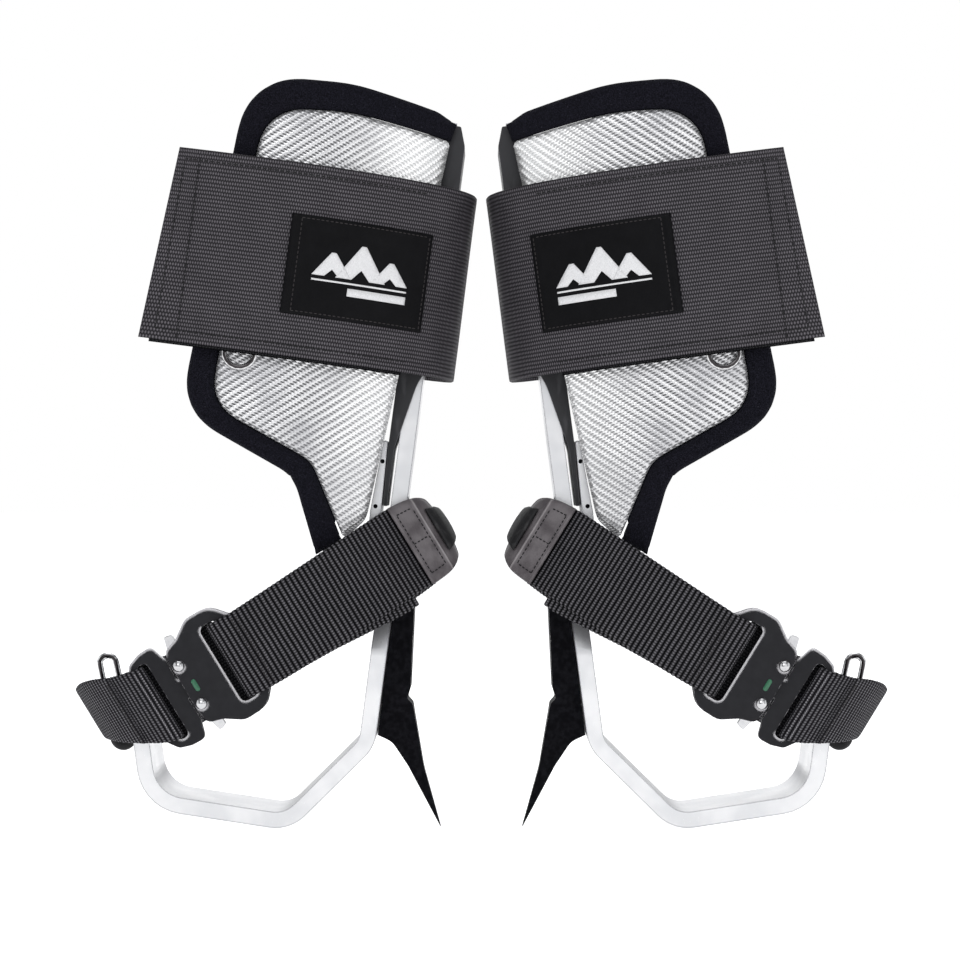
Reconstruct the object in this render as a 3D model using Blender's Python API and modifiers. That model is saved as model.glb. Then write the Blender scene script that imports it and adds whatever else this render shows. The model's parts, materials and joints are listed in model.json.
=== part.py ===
"""A pair of arborist climbing spurs: bent aluminium stirrups, steel gaffs, padded cuffs and straps.

The right spur stands at -X and the left one is its mirror image in the plane X = 0.
Lengths below are in millimetres, and MM turns them into Blender's metres. +Z is up, -Y is the front.

Three frames hold a spur's pieces, each with X across, Y to the back and Z up:
  the world; the shank frame, whose Z runs up the leaning shank; and the ankle frame,
  whose X runs along the ankle strap towards the shank.
"""

import math

import bmesh
import bpy
from mathutils import Matrix, Vector

MM = 0.001
GAP = 0.3
STAND = (0.113, -1.058)  # y and z of the spur's frame, so that the gaff's tip stands on the ground

# Shank and stirrup
SHANK_FOOT = (-52.2, 104.4)
SHANK_LEAN = 7.5
BAR_THICK = 8.4
BAR_HALF = BAR_THICK / 2
STIRRUP_DEPTH = 46.0
SHANK_DEPTH = 30.0
SHANK_TOP = 270.0
HEEL_BEND = -58.0
FLOOR_INNER = (-101.1, 6.1)
FLOOR_OUTER = (-173.0, 17.1)
OUTER_LEG_TOP = (-179.7, 66.0)
BOLT_SLOT = (156.0, 250.0)
BOLT_LEVELS = (160.0, 200.0)

# Cuff: the shell's section is part of an ellipse in the shank frame
CUFF_CENTRE = (-86.0, -1.5)
CUFF_ACROSS = 98.0
CUFF_DEEP = 45.5
SHELL_THICK = 2.4
STRAP_OFFSET = 8.6
STRAP_THICK = 2.2
STRAP_LEVELS = (135.5, 234.0)
STRAP_HINGE = (7.0, -28.0)
RING_OFFSET = 4.1

# Ankle strap and buckle
ANKLE_ORIGIN = (-137.8, 86.6)
ANKLE_SLOPE = 31.5
WEB_THICK = 2.2
FRONT_PLATE = (-57.0, -54.8)
BACK_PLATE = (-49.7, -47.5)
RIVET_PLACE = (-11.8, 11.1)
BUCKLE_SLOT = (6.5, 16.5)
BAR_SPOT = (5.0, -52.2)

# Outer ring and the eye that holds it
RING_EYE = (-187.8, 60.0)
RING_LEAN = 12.0


def clear_scene():
    for obj in list(bpy.data.objects):
        bpy.data.objects.remove(obj, do_unlink=True)


def new_collection(name, shown=True):
    made = bpy.data.collections.new(name)
    bpy.context.scene.collection.children.link(made)
    made.hide_render = not shown
    return made


def new_material(name, colour, metallic, roughness):
    made = bpy.data.materials.new(name)
    made.use_nodes = True
    shader = made.node_tree.nodes["Principled BSDF"]
    shader.inputs["Base Color"].default_value = (*colour, 1.0)
    shader.inputs["Metallic"].default_value = metallic
    shader.inputs["Roughness"].default_value = roughness
    made.diffuse_color = (*colour, 1.0)
    return made


clear_scene()
PARTS = new_collection("tree_climbing_spurs")
CUTTERS = new_collection("cutters", shown=False)

MATERIALS = {
    "aluminium": new_material("aluminium", (0.78, 0.79, 0.80), 1.0, 0.32),
    "black_steel": new_material("black_steel", (0.02, 0.02, 0.022), 0.7, 0.38),
    "bright_steel": new_material("bright_steel", (0.72, 0.72, 0.72), 1.0, 0.18),
    "dark_plastic": new_material("dark_plastic", (0.055, 0.055, 0.06), 0.0, 0.5),
    "silver_weave": new_material("silver_weave", (0.58, 0.59, 0.60), 0.6, 0.35),
    "loop_tape": new_material("loop_tape", (0.012, 0.012, 0.018), 0.0, 0.95),
    "webbing": new_material("webbing", (0.025, 0.025, 0.028), 0.0, 0.8),
    "leather": new_material("leather", (0.06, 0.052, 0.055), 0.0, 0.55),
    "black_anodised": new_material("black_anodised", (0.03, 0.03, 0.035), 0.6, 0.4),
}


# ---------------------------------------------------------------- frames


def new_frame(name, x, z, lean, y=0.0, parent=None):
    """An empty leaning by an angle about Y."""
    empty = bpy.data.objects.new(name, None)
    PARTS.objects.link(empty)
    empty.empty_display_size = 0.02
    empty.location = Vector((x, y, z)) * MM
    empty.rotation_euler = (0.0, math.radians(lean), 0.0)
    empty.parent = parent
    return empty


WORLD = new_frame("right_spur", 0.0, STAND[1], 0.0, y=STAND[0])
SHANK = new_frame("right_cuff_slide", *SHANK_FOOT, SHANK_LEAN, parent=WORLD)
ANKLE = new_frame("right_ankle_line", *ANKLE_ORIGIN, -ANKLE_SLOPE, parent=WORLD)
EYE = new_frame("right_ring_pivot", *RING_EYE, -RING_LEAN, parent=WORLD)


def shank_point(across, up):
    """(x, z) in the world of a point given in the shank frame."""
    lean = math.radians(SHANK_LEAN)
    x = SHANK_FOOT[0] + across * math.cos(lean) + up * math.sin(lean)
    z = SHANK_FOOT[1] - across * math.sin(lean) + up * math.cos(lean)
    return x, z


# ---------------------------------------------------------------- outlines


def rounded(corners, steps=4, closed=True):
    """Points of an outline through (x, y, radius) corners, with each corner as an arc."""
    count = len(corners)
    points = []
    for i, (x, y, radius) in enumerate(corners):
        here = Vector((x, y))
        if radius <= 0 or (not closed and i in (0, count - 1)):
            points.append(here)
            continue
        back = (Vector(corners[i - 1][:2]) - here).normalized()
        ahead = (Vector(corners[(i + 1) % count][:2]) - here).normalized()
        half = math.acos(max(-1.0, min(1.0, back.dot(ahead)))) / 2
        middle = here + (back + ahead).normalized() * radius / math.sin(half)
        start = here + back * radius / math.tan(half) - middle
        turn = (here + ahead * radius / math.tan(half) - middle).angle_signed(start)
        for step in range(steps + 1):
            angle = turn * step / steps
            spoke = Vector((
                start.x * math.cos(angle) - start.y * math.sin(angle),
                start.x * math.sin(angle) + start.y * math.cos(angle),
            ))
            points.append(middle + spoke)
    return points


def thickened(path, half):
    """The outline of a bar that follows an open path."""
    left = []
    right = []
    for i, point in enumerate(path):
        ahead = path[min(i + 1, len(path) - 1)] - path[max(i - 1, 0)]
        side = Vector((-ahead.y, ahead.x)).normalized() * half
        left.append(point + side)
        right.append(point - side)
    return left + right[::-1]


def circle(x, y, radius, steps=16):
    return [
        Vector((x + radius * math.cos(math.tau * i / steps), y + radius * math.sin(math.tau * i / steps)))
        for i in range(steps)
    ]


def oblong(x, y, half_x, half_y, radius, steps=4):
    corners = [
        (x - half_x, y - half_y, radius),
        (x + half_x, y - half_y, radius),
        (x + half_x, y + half_y, radius),
        (x - half_x, y + half_y, radius),
    ]
    return rounded(corners, steps)


def smooth(stations, steps=3):
    """Catmull-Rom points through stations of any number of values."""
    made = []
    last = len(stations) - 1
    for i in range(last):
        around = [stations[max(0, min(last, i + k))] for k in (-1, 0, 1, 2)]
        for step in range(steps):
            t = step / steps
            made.append(tuple(
                b + 0.5 * ((c - a) * t + (2 * a - 5 * b + 4 * c - d) * t**2 + (3 * b - a - 3 * c + d) * t**3)
                for a, b, c, d in zip(*around)
            ))
    made.append(tuple(stations[-1]))
    return made


def section(across, offset=0.0):
    """A point of the cuff's elliptical section, moved out of the shell by an offset."""
    share = (across - CUFF_CENTRE[0]) / CUFF_ACROSS
    reach = math.sqrt(1 - share**2)
    normal = Vector((share / CUFF_ACROSS, -reach / CUFF_DEEP)).normalized()
    return Vector((across, CUFF_CENTRE[1] - CUFF_DEEP * reach)) + normal * offset


def section_path(start, end, offset, steps=14):
    return [section(start + (end - start) * i / steps, offset) for i in range(steps + 1)]


# ---------------------------------------------------------------- shapes


def place(obj, frame, pivot=(0.0, 0.0, 0.0)):
    """Put an object in its frame, with its origin at the pivot."""
    shift = Vector(pivot) * MM
    obj.data.transform(Matrix.Translation(-shift))
    obj.parent = frame
    obj.location = shift
    return obj


def mesh_object(name, mesh, collection=PARTS):
    obj = bpy.data.objects.new(name, mesh)
    collection.objects.link(obj)
    if collection is CUTTERS:
        obj.hide_render = True
        obj.display_type = "WIRE"
    return obj


def mesh_from_curve(name, curve, collection):
    """A welded mesh object made from curve data."""
    guide = bpy.data.objects.new(name + "_curve", curve)
    bpy.context.scene.collection.objects.link(guide)
    graph = bpy.context.evaluated_depsgraph_get()
    mesh = bpy.data.meshes.new_from_object(guide.evaluated_get(graph))
    bpy.data.objects.remove(guide)
    bpy.data.curves.remove(curve)
    build = bmesh.new()
    build.from_mesh(mesh)
    bmesh.ops.remove_doubles(build, verts=build.verts, dist=1e-6)
    bmesh.ops.recalc_face_normals(build, faces=build.faces)
    build.to_mesh(mesh)
    build.free()
    return mesh_object(name, mesh, collection)


def add_spline(curve, points, cyclic):
    spline = curve.splines.new("POLY")
    spline.points.add(len(points) - 1)
    for spot, point in zip(spline.points, points):
        spot.co = (*(Vector(point).to_3d() * MM), 1.0)
    spline.use_cyclic_u = cyclic


# How a flat outline's (x, y) and its thickness direction lie in a frame.
LIE = {
    "front": Matrix.Rotation(math.radians(90), 4, "X"),
    "side": Matrix.Rotation(math.radians(90), 4, "Z") @ Matrix.Rotation(math.radians(90), 4, "X"),
    "top": Matrix.Identity(4),
}


def prism(name, outline, low, high, lie="front", holes=(), collection=PARTS):
    """A flat outline given thickness. Seen from the front its thickness runs along Y from low to high."""
    curve = bpy.data.curves.new(name, "CURVE")
    curve.dimensions = "2D"
    curve.fill_mode = "BOTH"
    curve.extrude = (high - low) / 2 * MM
    for ring in (outline, *holes):
        add_spline(curve, ring, cyclic=True)
    obj = mesh_from_curve(name, curve, collection)
    middle = (low + high) / 2 * MM
    shift = {"front": (0, middle, 0), "side": (middle, 0, 0), "top": (0, 0, middle)}[lie]
    obj.data.transform(Matrix.Translation(shift) @ LIE[lie])
    return obj


def sheet(name, lower, upper, thickness, rows=1, collection=PARTS):
    """A strip lofted between two rails and thickened to both sides."""
    build = bmesh.new()
    lines = []
    for low, high in zip(lower, upper):
        ends = Vector(low), Vector(high)
        lines.append([build.verts.new(ends[0].lerp(ends[1], i / rows) * MM) for i in range(rows + 1)])
    for here, ahead in zip(lines, lines[1:]):
        for i in range(rows):
            build.faces.new((here[i], ahead[i], ahead[i + 1], here[i + 1]))
    mesh = bpy.data.meshes.new(name)
    build.to_mesh(mesh)
    build.free()
    obj = mesh_object(name, mesh, collection)
    solidify = obj.modifiers.new("thickness", "SOLIDIFY")
    solidify.thickness = thickness * MM
    solidify.offset = 0.0
    solidify.use_even_offset = True
    return obj


def band(name, path, low, high, thickness, collection=PARTS):
    """A strip that follows a path in the XY plane and spans two levels of Z."""
    lower = [(x, y, low) for x, y in path]
    upper = [(x, y, high) for x, y in path]
    return sheet(name, lower, upper, thickness, collection=collection)


def webbing(name, stations, thickness, steps=3):
    """A strap through stations of (x, y, lower edge, upper edge)."""
    line = smooth(stations, steps)
    lower = [(x, y, low) for x, y, low, _ in line]
    upper = [(x, y, up) for x, y, _, up in line]
    return sheet(name, lower, upper, thickness)


def wire(name, points, radius, sides=2, cyclic=True):
    curve = bpy.data.curves.new(name, "CURVE")
    curve.dimensions = "3D"
    curve.bevel_depth = radius * MM
    curve.bevel_resolution = sides
    curve.use_fill_caps = True
    add_spline(curve, points, cyclic)
    return mesh_from_curve(name, curve, PARTS)


def turned(name, profile, axis, collection=PARTS, steps=16):
    """A profile of (radius, height), listed from the top down, turned about an axis of its frame."""
    mesh = bpy.data.meshes.new(name)
    edges = [(i, i + 1) for i in range(len(profile) - 1)]
    mesh.from_pydata([Vector((radius, 0.0, height)) * MM for radius, height in profile], edges, [])
    obj = mesh_object(name, mesh, collection)
    screw = obj.modifiers.new("turn", "SCREW")
    screw.steps = steps
    screw.render_steps = steps
    screw.use_merge_vertices = True
    screw.merge_threshold = 0.00001
    graph = bpy.context.evaluated_depsgraph_get()
    solid = bpy.data.meshes.new_from_object(obj.evaluated_get(graph))
    obj.modifiers.clear()
    obj.data = solid
    facing = {"x": Matrix.Rotation(math.radians(90), 4, "Y"), "y": Matrix.Rotation(math.radians(90), 4, "X")}
    solid.transform(facing[axis])
    return obj


def block(name, low, high, collection=CUTTERS):
    build = bmesh.new()
    size = Vector(high) - Vector(low)
    middle = (Vector(high) + Vector(low)) / 2
    box = Matrix.Translation(middle * MM) @ Matrix.Diagonal((*(size * MM), 1.0))
    bmesh.ops.create_cube(build, size=1.0, matrix=box)
    mesh = bpy.data.meshes.new(name)
    build.to_mesh(mesh)
    build.free()
    return mesh_object(name, mesh, collection)


def boolean(obj, other, operation):
    modifier = obj.modifiers.new(operation.lower() + "_" + other.name, "BOOLEAN")
    modifier.operation = operation
    modifier.object = other
    modifier.solver = "EXACT"


def bevel(obj, width, segments=1, angle=40):
    modifier = obj.modifiers.new("edges", "BEVEL")
    modifier.width = width * MM
    modifier.segments = segments
    modifier.limit_method = "ANGLE"
    modifier.angle_limit = math.radians(angle)


def finish(obj, material, frame, pivot=(0.0, 0.0, 0.0), round_off=True):
    obj.name = "right_" + obj.name
    obj.data.materials.clear()
    obj.data.materials.append(MATERIALS[material])
    if round_off:
        obj.data.shade_smooth()
        obj.data.set_sharp_from_angle(angle=math.radians(35))
    return place(obj, frame, pivot)


# ---------------------------------------------------------------- shank, stirrup and gaff


def bolt_shape(head_radius, head_low, head_high, shaft_radius, end, socket=0.0):
    """Profile of a bolt whose head faces up its axis, with a round socket in the head."""
    profile = [(0.0, head_high)]
    if socket:
        floor = head_high - (head_high - head_low) * 0.6
        profile = [(0.0, floor), (socket, floor), (socket, head_high)]
    profile += [(head_radius - 0.5, head_high), (head_radius, head_high - 0.5), (head_radius, head_low)]
    profile += [(shaft_radius, head_low), (shaft_radius, end), (0.0, end)]
    return profile


def hole_cutter(name, radius, low, high, up, wide=0.0, wide_low=0.0):
    """A hole along the shank frame's X at a level, with a wider bore at its +X end."""
    profile = [(0.0, high), (wide or radius, high)]
    if wide:
        profile += [(wide, wide_low), (radius, wide_low)]
    profile += [(radius, low), (0.0, low)]
    cutter = turned(name, profile, "x", CUTTERS)
    cutter.data.transform(Matrix.Translation(Vector((0.0, 0.0, up)) * MM))
    cutter.parent = SHANK
    return cutter


GAFF_SCREWS = {"upper": (4.0, 15.4), "lower": (-18.0, 17.4)}


def make_stirrup_shank():
    corners = [
        (*shank_point(0.0, SHANK_TOP), 0.0),
        (*shank_point(0.0, HEEL_BEND), 16.0),
        (*FLOOR_INNER, 18.0),
        (*FLOOR_OUTER, 22.0),
        (*OUTER_LEG_TOP, 0.0),
    ]
    outline = thickened(rounded(corners, steps=7, closed=False), BAR_HALF)
    bar = prism("stirrup_shank", outline, -STIRRUP_DEPTH / 2, STIRRUP_DEPTH / 2)
    top = SHANK_FOOT[1] + SHANK_TOP * math.cos(math.radians(SHANK_LEAN)) + BAR_HALF
    half = STIRRUP_DEPTH / 2
    slim = SHANK_DEPTH / 2
    side = [
        (-half, -10.0, 0), (half, -10.0, 0), (half, 95.0, 20), (slim, 130.0, 20),
        (slim, top, 10), (-slim, top, 10), (-slim, 130.0, 20), (-half, 95.0, 20),
    ]
    profile = prism("shank_side_profile", rounded(side), -220.0, 20.0, lie="side", collection=CUTTERS)
    profile.parent = WORLD
    boolean(bar, profile, "INTERSECT")
    eye = turned("ring_eye_boss", [(0.0, 4.0), (5.0, 4.0), (5.0, -4.0), (0.0, -4.0)], "y", CUTTERS)
    eye.data.transform(Matrix.Rotation(math.radians(90), 4, "X"))
    eye.parent = EYE
    boolean(bar, eye, "UNION")
    bore = turned("ring_eye_bore", [(0.0, 9.0), (2.2, 9.0), (2.2, -9.0), (0.0, -9.0)], "y", CUTTERS)
    bore.data.transform(Matrix.Rotation(math.radians(90), 4, "X"))
    bore.parent = EYE
    boolean(bar, bore, "DIFFERENCE")
    slot = prism(
        "bolt_slot_cutter",
        oblong(0.0, sum(BOLT_SLOT) / 2, 3.4, (BOLT_SLOT[1] - BOLT_SLOT[0]) / 2, 3.3),
        -12.0, 12.0, lie="side", collection=CUTTERS,
    )
    slot.parent = SHANK
    boolean(bar, slot, "DIFFERENCE")
    for name, (up, _) in GAFF_SCREWS.items():
        boolean(bar, hole_cutter("shank_hole_" + name, 3.0, -12.0, 12.0, up), "DIFFERENCE")
    profile = [(0.0, 30.0), (2.4, 30.0), (2.4, -5.0), (0.0, -5.0)]
    drain = turned("floor_hole_cutter", profile, "y", CUTTERS, steps=12)
    drain.data.transform(Matrix.Rotation(math.radians(90), 4, "X"))
    drain.data.transform(Matrix.Translation(Vector((-142.0, 6.0, 0.0)) * MM))
    drain.parent = WORLD
    boolean(bar, drain, "DIFFERENCE")
    return finish(bar, "aluminium", WORLD)


def make_gaff():
    inner = BAR_HALF + GAP
    outline = rounded([
        (inner, 15.5, 2), (inner, -54.5, 0), (12.5, -57.0, 10), (22.5, -68.5, 25), (44.4, -99.6, 0.15),
        (31.0, -68.5, 60), (20.8, -35.6, 3), (17.6, -33.0, 1.5), (18.6, -27.0, 4), (14.8, 17.6, 2),
    ], steps=3)
    gaff = prism("gaff", outline, -13.0, 13.0)
    side = rounded([
        (-13.0, 22.0, 0), (-13.0, -27.0, 5), (-7.5, -40.0, 8), (-1.2, -100.5, 0.5),
        (1.2, -100.5, 0.5), (7.5, -40.0, 8), (13.0, -27.0, 5), (13.0, 22.0, 0),
    ], steps=3)
    profile = prism("gaff_side_profile", side, -5.0, 60.0, lie="side", collection=CUTTERS)
    profile.parent = SHANK
    boolean(gaff, profile, "INTERSECT")
    for name, (up, face) in GAFF_SCREWS.items():
        cutter = hole_cutter("gaff_hole_" + name, 3.0, -5.0, 30.0, up, wide=5.0, wide_low=face - 5.0)
        boolean(gaff, cutter, "DIFFERENCE")
    return finish(gaff, "black_steel", SHANK)


def make_gaff_screws():
    for name, (up, face) in GAFF_SCREWS.items():
        profile = bolt_shape(4.6, face - 4.7, face - 0.7, 2.7, -BAR_HALF + 0.6, socket=2.2)
        screw = turned("gaff_screw_" + name, profile, "x")
        screw.data.transform(Matrix.Translation(Vector((0.0, 0.0, up)) * MM))
        finish(screw, "bright_steel", SHANK)


# ---------------------------------------------------------------- cuff carrier


def make_cuff_carrier():
    half = SHANK_DEPTH / 2 + 2.0
    outline = rounded([
        (6.6, 268.0, 1), (9.9, 258.0, 4), (9.9, 150.0, 8), (1.2, 131.0, 30), (-6.2, 96.0, 20),
        (-6.0, 66.0, 0.5), (-8.0, 66.0, 0.5), (-9.4, 97.0, 20), (-9.2, 268.0, 1),
    ], steps=3)
    carrier = prism("cuff_carrier", outline, -half, half)
    inner = -SHELL_THICK / 2 - GAP
    flange_path = section_path(-38.0, 6.0, inner - 1.5, steps=8)
    flange = band("carrier_flange", flange_path, 150.0, 225.0, 3.0, CUTTERS)
    flange.parent = SHANK
    boolean(carrier, flange, "UNION")
    room = BAR_HALF + 0.4
    deep = SHANK_DEPTH / 2 + 0.4
    channel = block("carrier_channel", (-room, -deep, 40.0), (room, deep, 300.0))
    channel.parent = SHANK
    boolean(carrier, channel, "DIFFERENCE")
    for name, up in zip(("lower", "upper"), BOLT_LEVELS):
        boolean(carrier, hole_cutter("carrier_hole_" + name, 3.3, -14.0, 14.0, up), "DIFFERENCE")
    return finish(carrier, "dark_plastic", SHANK)


def make_carrier_bolts():
    for name, up in zip(("lower", "upper"), BOLT_LEVELS):
        bolt = turned("carrier_bolt_" + name, bolt_shape(5.0, 10.2, 13.4, 3.0, -9.0, socket=2.3), "x")
        bolt.data.transform(Matrix.Translation(Vector((0.0, 0.0, up)) * MM))
        finish(bolt, "bright_steel", SHANK)


def make_cuff_bracket():
    outline = rounded([
        (-9.9, 100.0, 1), (-8.5, 58.0, 1), (-14.0, 50.0, 2), (-14.4, 62.0, 4), (-12.2, 100.0, 1),
    ], steps=2)
    bracket = prism("cuff_bracket", outline, -17.0, 12.0)
    bevel(bracket, 0.5)
    return finish(bracket, "aluminium", SHANK)


# ---------------------------------------------------------------- cuff

SHELL_CORNERS = [
    (2.2, 258.5, 2), (-50.0, 264.0, 90), (-93.0, 260.5, 22), (-101.5, 106.5, 20), (-46.5, 84.5, 14),
    (-25.0, 46.5, 1.5), (-15.2, 58.0, 6), (-8.8, 128.0, 60),
]
CUFF_EDGE_CORNERS = [
    (4.6, 268.0, 3), (-6.0, 272.5, 8), (-50.0, 279.0, 90), (-103.5, 276.0, 30), (-116.8, 101.0, 28),
    (-54.5, 75.5, 14), (-38.0, 37.0, 1.5),
]


def cut_to(obj, outline, name):
    """Trim a bent sheet to an outline seen from the front."""
    trim = prism(name, outline, -90.0, 40.0, collection=CUTTERS)
    trim.parent = SHANK
    boolean(obj, trim, "INTERSECT")


def make_cuff_shell():
    shell = band("cuff_shell", section_path(-112.0, 6.0, 0.0, steps=20), 30.0, 290.0, SHELL_THICK)
    cut_to(shell, rounded(SHELL_CORNERS, steps=5), "shell_outline")
    return finish(shell, "silver_weave", SHANK)


def make_cuff_binding():
    """Loop tape along the shell's free edges, from the top inner corner round to the lower tip."""
    binding = band("cuff_binding", section_path(-118.5, 3.4, -0.6, steps=18), 25.0, 290.0, 5.2)
    inner = [
        (2.4, 258.5 + GAP, 0), (-50.0, 264.0 + GAP, 90), (-93.0 - GAP, 260.5 + GAP, 22),
        (-101.5 - GAP, 106.5 - GAP, 20), (-46.5 - GAP, 84.5 - GAP, 14), (-25.5 - GAP, 46.0 - GAP, 0),
    ]
    tape = rounded(CUFF_EDGE_CORNERS, steps=5, closed=False) + rounded(inner, steps=5, closed=False)[::-1]
    cut_to(binding, tape, "binding_outline")
    return finish(binding, "loop_tape", SHANK)


def make_cuff_pad():
    """The foam liner behind the shell, which turns round beside the shank."""
    front = [tuple(point) for point in section_path(-116.0, -38.0, -9.2, steps=11)]
    side = [(-29.5, -24.5), (-22.0, -14.5), (-18.2, -3.0), (-17.2, 16.0)]
    path = front[:-3] + smooth(front[-3:] + side, 2)
    pad = band("cuff_pad", path, 25.0, 290.0, 8.0)
    outline = rounded([
        (-10.0, 250.0, 8), (-50.0, 275.0, 60), (-100.5, 272.5, 28), (-113.0, 104.0, 26),
        (-52.5, 79.0, 14), (-37.5, 41.0, 2), (-28.0, 48.0, 2), (-25.0, 104.0, 4), (-10.0, 108.0, 3),
    ], steps=5)
    cut_to(pad, outline, "pad_outline")
    return finish(pad, "loop_tape", SHANK)


# ---------------------------------------------------------------- calf strap


def strap_line():
    """The calf strap's middle line in the shank frame, from its free end to its sewn end."""
    flat = [(-137.0, -52.6), (-124.0, -54.0), (-110.0, -55.2)]
    curved = [tuple(section(across, STRAP_OFFSET)) for across in range(-98, -1, 8)]
    fold = [(12.8, -20.5), (17.2, -10.0), (18.6, 2.0), (17.4, 12.5), (12.0, 20.5), (3.0, 24.2), (-8.0, 25.2)]
    return flat + curved, fold


def make_calf_strap():
    front, fold = strap_line()
    low, high = STRAP_LEVELS
    hinge = Vector(STRAP_HINGE)
    clear = STRAP_THICK * 0.8
    away = hinge + (Vector(front[-1]) - hinge).normalized() * clear
    beyond = hinge + (Vector(fold[0]) - hinge).normalized() * clear
    line = smooth(front + [tuple(away)], 1)
    lower = []
    upper = []
    for i, (x, y) in enumerate(line):
        slant = 4.2 if i == 0 else 0.0
        lower.append((x - slant, y, low))
        upper.append((x + slant, y, high))
    flap = sheet("calf_strap_flap", lower, upper, STRAP_THICK)
    finish(flap, "webbing", SHANK, pivot=(*STRAP_HINGE, 0.0))
    root = band("calf_strap_root", smooth([tuple(beyond)] + fold, 2), low, high, STRAP_THICK)
    finish(root, "webbing", SHANK)


def make_label_patch():
    offset = STRAP_OFFSET + STRAP_THICK / 2 + GAP + 0.6
    label = band("label_patch", section_path(-72.0, -5.0, offset, steps=10), 157.0, 208.0, 1.2)
    return finish(label, "webbing", SHANK, pivot=(*STRAP_HINGE, 0.0))


RING_SIDE = -81.5
RING_WIDE = 15.8
RING_LEVELS = (126.7, 231.0)


def make_strap_ring():
    radius = RING_WIDE / 2
    centre = RING_SIDE - radius
    points = []
    for level, start in ((RING_LEVELS[1] - radius, 0.0), (RING_LEVELS[0] + radius, math.pi)):
        for step in range(9):
            angle = start + math.pi * step / 8
            across, out = section(centre + radius * math.cos(angle), RING_OFFSET)
            points.append((across, out, level + radius * math.sin(angle)))
    ring = wire("strap_ring", points, 1.5)
    pivot = section(RING_SIDE, RING_OFFSET)
    return finish(ring, "bright_steel", SHANK, pivot=(*pivot, 0.0))


def make_ring_chape():
    """A strip of tape folded round the ring's inner bar and sewn down to the shell."""
    base = SHELL_THICK / 2 + GAP + 0.4
    loop = 2.3
    path = [tuple(section(across, base)) for across in (-58.0, -64.0, -70.0, -76.0)]
    centre = section(RING_SIDE, RING_OFFSET)
    for step in range(9):
        angle = math.radians(70 + 220 * step / 8)
        path.append((centre.x + loop * math.cos(angle), centre.y + loop * math.sin(angle)))
    for across, rise in ((-76.0, 3.4), (-70.0, 1.4), (-62.0, 1.2)):
        path.append(tuple(section(across, base + rise)))
    chape = band("ring_chape", path, 148.0, 222.0, 0.8)
    return finish(chape, "webbing", SHANK)


# ---------------------------------------------------------------- ankle strap


def make_ankle_straps():
    front = [
        (10.8, -52.6, -21.4, 21.4), (11.4, -55.6, -21.4, 21.4), (14.2, -58.8, -21.5, 21.3),
        (20.0, -60.0, -22.0, 20.6), (32.0, -60.8, -22.4, 20.8), (50.0, -60.0, -22.4, 21.4),
        (75.0, -54.5, -22.2, 22.4), (95.0, -45.5, -21.8, 23.2), (108.0, -39.0, -21.4, 23.8),
        (118.0, -33.0, -21.2, 24.0), (128.0, -26.5, -20.5, 22.8), (133.0, -18.0, -17.0, 19.5),
        (134.8, -8.0, -12.0, 14.0), (134.9, -1.2, -11.0, 13.0),
    ]
    finish(webbing("ankle_strap_front", front, WEB_THICK), "webbing", ANKLE)
    rear = [
        (134.9, 1.2, -11.0, 13.0), (134.8, 8.0, -12.0, 14.0), (133.0, 18.0, -17.0, 19.5),
        (128.0, 26.5, -21.0, 22.5), (118.0, 33.0, -23.5, 21.5), (95.0, 46.5, -25.5, 20.0),
        (60.0, 57.0, -26.5, 19.5), (25.0, 60.6, -25.5, 19.0), (-10.0, 57.0, -24.0, 19.0),
        (-36.0, 46.0, -21.5, 20.5), (-54.0, 34.0, -15.5, 23.5), (-63.0, 26.0, -8.5, 24.5),
        (-67.0, 18.0, -3.0, 25.0), (-68.4, 9.5, 0.0, 25.0), (-68.9, 4.2, 0.8, 24.8),
    ]
    finish(webbing("ankle_strap_rear", rear, WEB_THICK), "webbing", ANKLE)


def make_strap_guard():
    half = [
        (138.0, 0.0, -9.5, 12.5), (137.7, 8.0, -11.0, 13.5), (136.1, 19.0, -17.5, 19.5),
        (130.2, 28.9, -20.8, 23.0), (119.0, 36.4, -21.6, 24.2),
    ]
    stations = [(x, -y, low, up) for x, y, low, up in half[:0:-1]] + half
    return finish(webbing("strap_guard", stations, 2.4), "leather", ANKLE)


def make_guard_pad():
    """The rubber bumper round the outside of the guard."""
    half = [
        (140.5, 0.0, -6.5, 10.5), (140.2, 8.2, -8.0, 11.5),
        (138.4, 19.9, -10.0, 13.0), (135.5, 26.0, -11.0, 14.0),
    ]
    stations = [(x, -y, low, up) for x, y, low, up in half[:0:-1]] + half
    return finish(webbing("guard_pad", stations, 1.6), "dark_plastic", ANKLE)


def make_ankle_tail():
    stations = [
        (-28.6, -52.2, -20.6, 20.6), (-29.2, -55.6, -20.6, 20.6), (-33.0, -57.6, -20.0, 21.0),
        (-40.0, -56.0, -17.5, 23.0), (-50.0, -48.5, -12.0, 25.5), (-59.5, -37.5, -6.5, 26.5),
        (-66.0, -24.0, -2.0, 26.0), (-68.4, -10.0, 0.5, 25.0), (-68.9, -4.2, 0.8, 24.8),
    ]
    return finish(webbing("ankle_strap_tail", stations, 2.8), "webbing", ANKLE)


# ---------------------------------------------------------------- buckle


def mirrored(half):
    """A closed outline from corners on one side of the X axis, given from left to right."""
    return list(half) + [(x, -y, radius) for x, y, radius in half[::-1]]


FRAME_HALF = [
    (-15.2, 12.0, 30), (-14.2, 21.0, 4), (-6.0, 23.6, 6), (3.0, 29.8, 8), (16.0, 29.6, 10), (24.0, 20.0, 3),
]
TONGUE_HALF = [
    (-38.0, 18.0, 4), (-33.5, 24.6, 4), (-27.0, 26.8, 5), (-19.5, 27.2, 3), (-16.4, 17.0, 8),
    (-16.4, 5.4, 0.5), (-4.5, 5.4, 1.5), (-2.6, 3.2, 0.5),
]


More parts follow.
